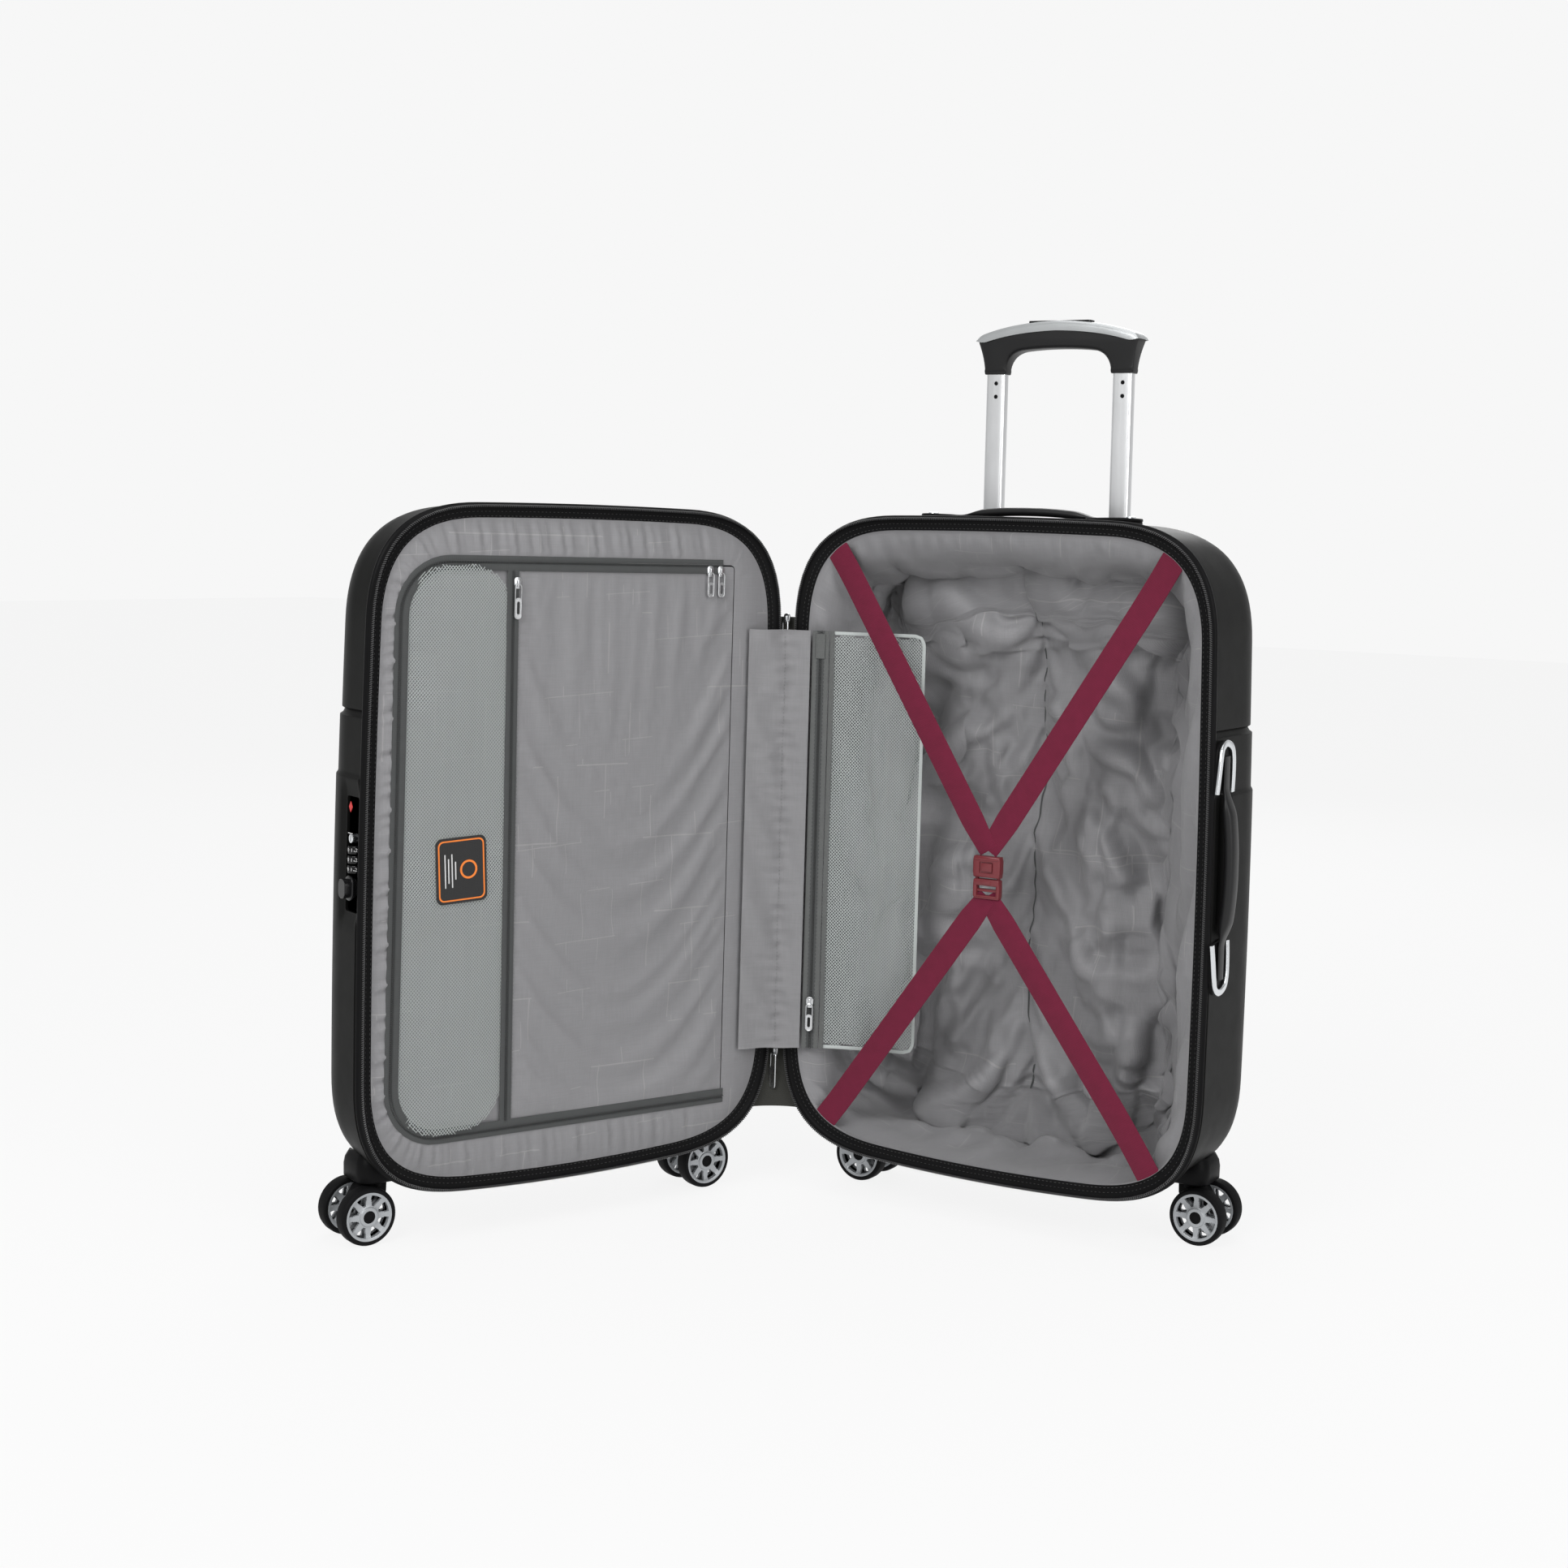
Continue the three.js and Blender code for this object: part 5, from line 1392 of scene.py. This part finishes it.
def handle_grip(rise):
    shape = Shape()
    x = np.concatenate([np.linspace(-100, -62, 14), np.linspace(-60, 60, 40), np.linspace(62, 100, 14)])
    arch = (6.2 + 7.2 * (1 - np.clip(np.abs(x) / 70, 0, 1) ** 2.2)) * rise
    wide = 6.2 + 3.2 * (1 - ramp(np.abs(x), 52, 68))
    tall = (1.5 + 3.6 * (1 - ramp(np.abs(x), 46, 68))) * (0.3 + 0.7 * rise)
    turn = np.linspace(0, 2 * math.pi, 20, endpoint=False)
    around = np.stack([np.sign(np.cos(turn)) * np.abs(np.cos(turn)) ** 0.7,
                       np.sign(np.sin(turn)) * np.abs(np.sin(turn)) ** 0.7], 1)
    loops = [np.column_stack([np.full(20, a), around[:, 0] * w, h + around[:, 1] * t])
             for a, w, h, t in zip(x, wide, arch, tall)]
    return shape.loft(loops)


for label, metal, slot, rise in (("top", TRIM, "black_trim", 0.72), ("side", CHROME, "silver_plastic", 1.0)):
    for side, end in ((1, "outer" if label == "top" else "lower"), (-1, "inner" if label == "top" else "upper")):
        make(f"{label}_handle_bracket_{end}_shell", handle_bracket(side, rise), STAND[label], "base", metal,
             [f"{label}_handle_bracket_{end}"], 50)
        make(f"{label}_handle_foot_{end}", handle_foot(side, rise), STAND[label], "base", TRIM)
    make(f"{label}_handle_grip_soft", handle_grip(rise), STAND[label], f"{label}_handle", GRIP,
         [f"{label}_handle_grip"], 50)
    if label == "top":
        caps = Shape()
        for side in (1, -1):
            block(caps, side * 104 - 3.2, side * 104 + 3.2, -6, 6, 3.4, 7.6, 1.4, axis="z")
        make("top_handle_glints", caps, STAND[label], "base", CHROME)


# ---------- casters ----------
def spun(profile, side=1):
    """A profile of (radius, distance out to the side) turned about the y axis."""
    turn = np.linspace(0, 2 * math.pi, 64, endpoint=False)
    return np.stack([np.stack([r * np.cos(turn), np.full(64, side * w), r * np.sin(turn)], -1) for r, w in profile])


def wheel_shape():
    """A wheel on the y axis: tyre, spoked cover on both sides, cap and ring."""
    shape = Shape()
    tyre, cover, dark = range(3)      # their places among the wheel's looks
    shape.loft(spun([(21.4, -7.0), (24.4, -7.3), (25.6, -6.0), (26, -3.5), (26, 3.5), (25.6, 6.0), (24.4, 7.3),
                     (21.4, 7.0), (21.0, 0)]), tyre, closed=True)
    shape.loft(spun([(4.0, -6.0), (7.6, -6.0), (7.6, 6.0), (4.0, 6.0)]), dark, closed=True)
    radii = np.array([7.2, 8.8, 10.0, 11.4, 13.2, 15.0, 16.8, 18.2, 19.2, 19.9, 21.6])
    sectors = 144
    angle = np.arange(sectors) * 2 * math.pi / sectors
    for face in (-1, 1):
        middle_r = (radii[1:] + radii[:-1]) / 2
        middle_a = angle + math.pi / sectors
        open_cell = np.zeros((len(middle_r), sectors), bool)
        for k in range(8):
            centre = k * math.pi / 4 + math.pi / 8
            away = np.abs((middle_a - centre + math.pi) % (2 * math.pi) - math.pi)
            for i, r in enumerate(middle_r):
                width = (1.0 + (r - 9.4) * 0.47 - 1.4 * max(0, r - 18.2)) / r if 10.0 < r < 19.2 else 0
                open_cell[i] |= away < width
        level = np.array([6.9, 6.2, 5.7, 5.4, 5.3, 5.3, 5.4, 5.8, 6.5, 6.9, 7.1])
        front = np.stack([np.stack([r * np.cos(angle), np.full(sectors, face * w), r * np.sin(angle)], -1)
                          for r, w in zip(radii, level)])
        rear = front.copy()
        rear[..., 1] = face * 2.4
        n = len(radii) * sectors
        faces = []
        solid = ~open_cell

        def wall(start, stop):
            """The wall from an edge of the cover's front to the same edge of its rear."""
            first, second = (i * sectors + j for i, j in (start, stop))
            faces.append((first, second, second + n, first + n))

        for i in range(len(radii) - 1):
            for j in range(sectors):
                if not solid[i, j]:
                    continue
                after = (j + 1) % sectors
                faces.append((i * sectors + j, i * sectors + after, (i + 1) * sectors + after, (i + 1) * sectors + j))
                if not solid[i, after]:
                    wall((i, after), (i + 1, after))
                if not solid[i, j - 1]:
                    wall((i, j), (i + 1, j))
                if i == len(radii) - 2 or not solid[i + 1, j]:
                    wall((i + 1, j), (i + 1, after))
                if i == 0 or not solid[i - 1, j]:
                    wall((i, j), (i, after))
        used = sorted({v for f in faces for v in f})
        new = {v: k for k, v in enumerate(used)}
        both = np.concatenate([front.reshape(-1, 3), rear.reshape(-1, 3)])
        shape.add(both[used], [tuple(new[v] for v in f) for f in faces], cover)
        shape.loft(spun([(5.6, 3.0), (9.0, 3.0), (9.0, 6.1), (8.2, 7.2), (7.0, 7.5), (5.6, 7.3)], face), cover,
                   closed=True)
        shape.loft(spun([(3.6, 2.0), (5.6, 2.0), (5.6, 6.8), (5.0, 7.4), (3.6, 7.4)], face), tyre, closed=True)
        rod(shape, "y", 3.7, min(face * 5, face * 7.2), max(face * 5, face * 7.2), 0, 0, 0.3, 32)
    return shape


wheel_master = wheel_shape()
WHEELS = [RUBBER, HUB, GLOSS]


def arm_shape():
    """A caster's fork: stem, arm and axle, its pivot on z through the origin."""
    shape = Shape()
    outline_points = np.vstack([[(-9, 51)], bezier([(-9, 42), (-3, 26), (6, 26)], np.linspace(0, 1, 10)),
                                np.roll(circle(15, 26, 9.0, 24), 12, 0)[:13],
                                bezier([(24, 27), (23.5, 40), (12, 51)], np.linspace(0, 1, 8))])
    shape.loft(slab_loops(outline_points[::-1], -10.4, 10.4, 1.8, 3))
    rod(shape, "z", 11, 47, 53.2, 0, 0, 1.0, 32)
    rod(shape, "y", 3, -26.5, 26.5, 15, 26, 0.4, 20)
    return shape


def shell_underside(half, along, w):
    """The height of the half's outer face at the bottom, this far from the hinge and this deep."""
    depth, bend = DEPTH[half], BACK_ROUND[half]
    inset = bend - math.sqrt(bend ** 2 - min(max(w - depth + bend, 0), bend) ** 2)
    loop = loop_of(outline(inset, w=w))
    low = loop[loop[:, 1] < MID_Z - 150]
    low = low[np.argsort(low[:, 0])]
    return float(np.interp(along, low[:, 0], low[:, 1]))


def housing_shape(half, along, deep):
    """The block that holds a caster in the shell's lower corner, flaring into the shell and ending in its wall."""
    shape = Shape()
    levels = ((-3.5, 53.6, 11), (-1.4, 54.0, 12), (0, 55.4, 13), (0.2, 66, 13), (-0.6, 72, 13), (-3.4, 78, 12),
              (-8, 83, 10), (-14, 86.5, 7))
    rings = []
    for g, h, r in levels:
        ring = at_level(centred(0, 0, 22 + g, 24 + g, r, 7), h, "z")
        wall = [shell_underside(half, along + x, deep + y) + 1.6 for x, y, _ in ring]
        ring[:, 2] = np.minimum(ring[:, 2], np.maximum(wall, 53.2 + (h - 53.6) * 0.05))
        rings.append(ring)
    shape.loft(rings)
    rod(shape, "z", 12, 51.8, 55, 0, 0, 0.8, 32)
    return shape


CASTERS = [("base_inner", 45, 91, 1), ("base_outer", 402, 91, 1), ("lid_inner", -45, 53, -1),
           ("lid_outer", -402, 53, -1)]
wheel_mesh = None
for label, x, y, outward_side in CASTERS:
    half = label.split("_")[0]
    place = HINGE if half == "base" else PLACE["lid"]
    turned = Matrix.Identity(4) if outward_side > 0 else Matrix.Rotation(math.pi, 4, "Z")
    seat = place @ Matrix.Translation((x / 1000, y / 1000, 0)) @ turned
    make(f"{label}_caster_block", housing_shape(half, abs(x), y), seat, half, TRIM,
         [f"{label}_caster_housing"], 50)
    make(f"{label}_caster_arm", arm_shape(), seat, f"{label}_caster", TRIM, [f"{label}_caster_fork"], 50)
    for side in (-1, 1):
        end = "front" if side * outward_side < 0 else "rear"
        name = f"{label}_wheel_{end}"
        lo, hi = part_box(name)
        at = Matrix.Translation((lo + hi) / 2) @ place.to_3x3().to_4x4() @ turned
        if wheel_mesh is None:
            obj = make(name + "_rim", wheel_master, at, name, WHEELS, [name], 32)
            wheel_mesh = obj.data
        else:
            obj = bpy.data.objects.new(name + "_rim", wheel_mesh)
            bpy.context.scene.collection.objects.link(obj)
            obj.matrix_world = at
            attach(obj, name)
            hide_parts(name)

# ---------- combination lock on the lid's outer side ----------
FACE = HINGE_GAP + WIDTH        # the shell's surface there
lock = Shape()
lock.loft(slab_loops(round_rect(*LOCK_PLATE, 5, 6), FACE - 12, FACE + 1.6, 1.4, 3, "x"))
boss = round_rect(17, 33, 310, 332, 7.5, 8)
lock.loft(slab_loops(boss, FACE, FACE + 2.6, 0.9, 3, "x"))
lock_piece = make("lock_plate", lock, "lid", "lid", GLOSS, ["lock_housing"], 50)
hole = Shape()
for z in DIAL_Z:
    block(hole, FACE - 20, FACE + 9, LOCK_Y - 7.2, LOCK_Y + 7.2, z - 3.9, z + 3.9, 0.3, axis="x")
for z in (384, 375):
    block(hole, FACE - 3, FACE + 9, LOCK_Y - 6, LOCK_Y + 6, z - 2.6, z + 2.6, 1.4, axis="x")
rod(hole, "x", 4.5, FACE - 6, FACE + 9, LOCK_Y, 364.5, 0.2, 28)
hole.loft(slab_loops(round_rect(18.2, 31.8, 312.6, 329.4, 5.6, 6), FACE - 3, FACE + 9, 0.3, 1, "x"))
carve(lock_piece, hole, "lid")
marks = Shape()
block(marks, FACE + 1.5, FACE + 1.75, 20.5, 29.5, 368.8, 369.5, 0.1, axis="x")
for z in DIAL_Z:
    block(marks, FACE + 1.5, FACE + 1.75, 15.0, 16.9, z - 0.4, z + 0.4, 0.1, axis="x")
make("lock_marks", marks, "lid", "lid", WHITE_INK)
diamond = Shape()
loop = np.array([(25, 387.6), (28.6, 392.4), (25, 397.2), (21.4, 392.4)])
diamond.loft(slab_loops(loop, FACE + 1.3, FACE + 1.9, 0.2, 1, "x"))
make("lock_diamond", diamond, "lid", "lid", RED_INK)
key = Shape()
rod(key, "x", 4.0, FACE - 5, FACE + 1.3, LOCK_Y, 364.5, 0.5, 32)
key_piece = make("lock_key_barrel", key, "lid", "lock_key", CHROME, ["lock_key_cylinder"], 40)
hole = Shape()
block(hole, FACE - 1.5, FACE + 3, 24.4, 25.6, 361.9, 367.1, 0.2, axis="x")
carve(key_piece, hole, "lid")
release = Shape()
release.loft(slab_loops(round_rect(18.6, 31.4, 313.4, 328.6, 5.2, 6), FACE - 2.5, FACE + 3.2, 1.0, 3, "x"))
for k in range(-2, 3):
    block(release, FACE + 3.0, FACE + 3.7, 21.4, 28.6, 321 + 2.3 * k - 0.5, 321 + 2.3 * k + 0.5, 0.25, axis="x")
make("lock_release_cap", release, "lid", "lock_release", TRIM, ["lock_release"], 40)


def digit_mesh(number):
    text = bpy.data.curves.new("digit", "FONT")
    text.body, text.size, text.extrude = str(number), 0.0046, 0.00012
    text.align_x, text.align_y = "CENTER", "CENTER"
    text.resolution_u = 3
    holder = bpy.data.objects.new("digit", text)
    bpy.context.scene.collection.objects.link(holder)
    bpy.context.view_layer.update()
    mesh = bpy.data.meshes.new_from_object(holder.evaluated_get(bpy.context.evaluated_depsgraph_get()))
    points = np.array([v.co for v in mesh.vertices]) * 1000
    faces = [tuple(p.vertices) for p in mesh.polygons]
    bpy.data.objects.remove(holder)
    return points, faces


DIGITS = [digit_mesh(n) for n in range(10)]
for order, z in enumerate(DIAL_Z):
    name = f"lock_dial_{order + 1}"
    dial = Shape()
    sides = 60
    turn = np.arange(sides) * 2 * math.pi / sides
    knurl = np.where(np.arange(sides) % 6 == 3, -0.35, 0.0)
    loops = []
    for level, r in ((-3.4, 5.6), (-3.2, 6.2), (-2.4, DIAL_R), (2.4, DIAL_R), (3.2, 6.2), (3.4, 5.6)):
        rr = r + knurl * (abs(level) > 1)
        loops.append(np.column_stack([rr * np.cos(turn), rr * np.sin(turn), np.full(sides, level)]))
    dial.loft(loops)
    for n, (points, faces) in enumerate(DIGITS):
        a = 2 * math.pi / 10 * n
        out, tangent = np.array((math.cos(a), math.sin(a), 0)), np.array((-math.sin(a), math.cos(a), 0))
        placed = out * (DIAL_R - 0.05 + points[:, 2:3]) + tangent * points[:, :1] + (0, 0, 1) * points[:, 1:2]
        dial.add(placed, faces, 1)
    at = PLACE["lid"] @ Matrix.Translation((-(FACE - 3.6) / 1000, 0.025, z / 1000))
    at = at @ Matrix.Rotation(math.pi, 4, "Z")
    make(name + "_ring", dial, at, name, [GLOSS, WHITE_INK], [name], 50)

# ---------- label on the divider's net ----------
label = Shape()
label.loft(slab_loops(centred(0, 0, 29.5, 25, 6, 6), -0.5, 0.5, 0.3, 1), 0)
for outer, inner in ((centred(0, 0, 27.2, 22.7, 5, 6), centred(0, 0, 25.9, 21.4, 4.2, 6)),
                     (circle(0, -7, 8.5, 40), circle(0, -7, 6.6, 40))):
    label.loft(ring_loops(outer, inner, -0.7, -0.3, "y"), 1, closed=True)
for k, width in enumerate((15, 11, 15, 8)):
    block(label, -width, width, -0.7, -0.3, 15.5 - 3.4 * k, 16.6 - 3.4 * k, 0.15, 2)
at = PLACE["lid"] @ Matrix.Translation((-LABEL[0] / 1000, 0.0017, LABEL[1] / 1000))
at = at @ Matrix.Rotation(math.radians(-93), 4, "Y")
make("divider_label", label, at, "divider", [BLACK_TAPE, ORANGE_INK, WHITE_INK], (), 40)

flap_stitches = make("hinge_flap_stitching", flap_seam, "base", "base", THREAD, ride=False)
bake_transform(flap_stitches)

# ---------- the CAD node that stays ----------
guides = frame["nodes"]["handle_guide_frame"]
guides.data.materials.clear()
guides.data.materials.append(ALUMINIUM)

# ---------- floor, light ----------
floor_mesh = bpy.data.meshes.new("floor")
floor_mesh.from_pydata([(-12, -12, 0), (12, -12, 0), (12, 12, 0), (-12, 12, 0)], [], [(0, 1, 2, 3)])
floor = bpy.data.objects.new("floor", floor_mesh)
bpy.context.scene.collection.objects.link(floor)
pale = Look("pale_floor", (0.08, 0.08, 0.08), 0.9, **{"Specular IOR Level": 0.0, "Emission Color": (1, 1, 1, 1),
                                                   "Emission Strength": 0.87})
floor_mesh.materials.append(pale.material)

world = bpy.data.worlds.new("studio")
bpy.context.scene.world = world
world.use_nodes = True
# the studio is bright behind the case and dimmer in front of it
tree = world.node_tree
place = tree.nodes.new("ShaderNodeTexCoord")
ahead = tree.nodes.new("ShaderNodeVectorMath")
ahead.operation = "DOT_PRODUCT"
ahead.inputs[1].default_value = heading @ Vector((0, 1, 0))
tree.links.new(place.outputs["Generated"], ahead.inputs[0])
shade = tree.nodes.new("ShaderNodeMapRange")
shade.interpolation_type = "SMOOTHSTEP"
for key, value in (("From Min", 0.4), ("From Max", 0.9), ("To Min", 0.4), ("To Max", 0.93)):
    shade.inputs[key].default_value = value
tree.links.new(ahead.outputs["Value"], shade.inputs["Value"])
tree.links.new(shade.outputs["Result"], tree.nodes["Background"].inputs["Strength"])
tree.nodes["Background"].inputs["Color"].default_value = (1, 1, 1, 1)


def softbox(name, along, distance, height, size, power, aim=0.35):
    light = bpy.data.lights.new(name, "AREA")
    light.shape, light.size, light.size_y, light.energy = "RECTANGLE", size[0], size[1], power
    obj = bpy.data.objects.new(name, light)
    bpy.context.scene.collection.objects.link(obj)
    way = Matrix.Rotation(HEADING + math.radians(along), 3, "Z") @ Vector((0, -1, 0))
    obj.location = Vector((hinge_at[0], hinge_at[1], 0)) + way * distance + Vector((0, 0, height))
    target = Vector((hinge_at[0], hinge_at[1], aim))
    obj.rotation_euler = (target - obj.location).to_track_quat("-Z", "Y").to_euler()


softbox("key", -25, 2.9, 2.3, (1.5, 1.5), 64)
softbox("fill", 38, 2.9, 1.3, (1.5, 1.9), 32)
softbox("top", 0, 0.5, 3.0, (2.0, 2.0), 20)
softbox("back", 170, 2.9, 1.9, (1.6, 1.6), 22)
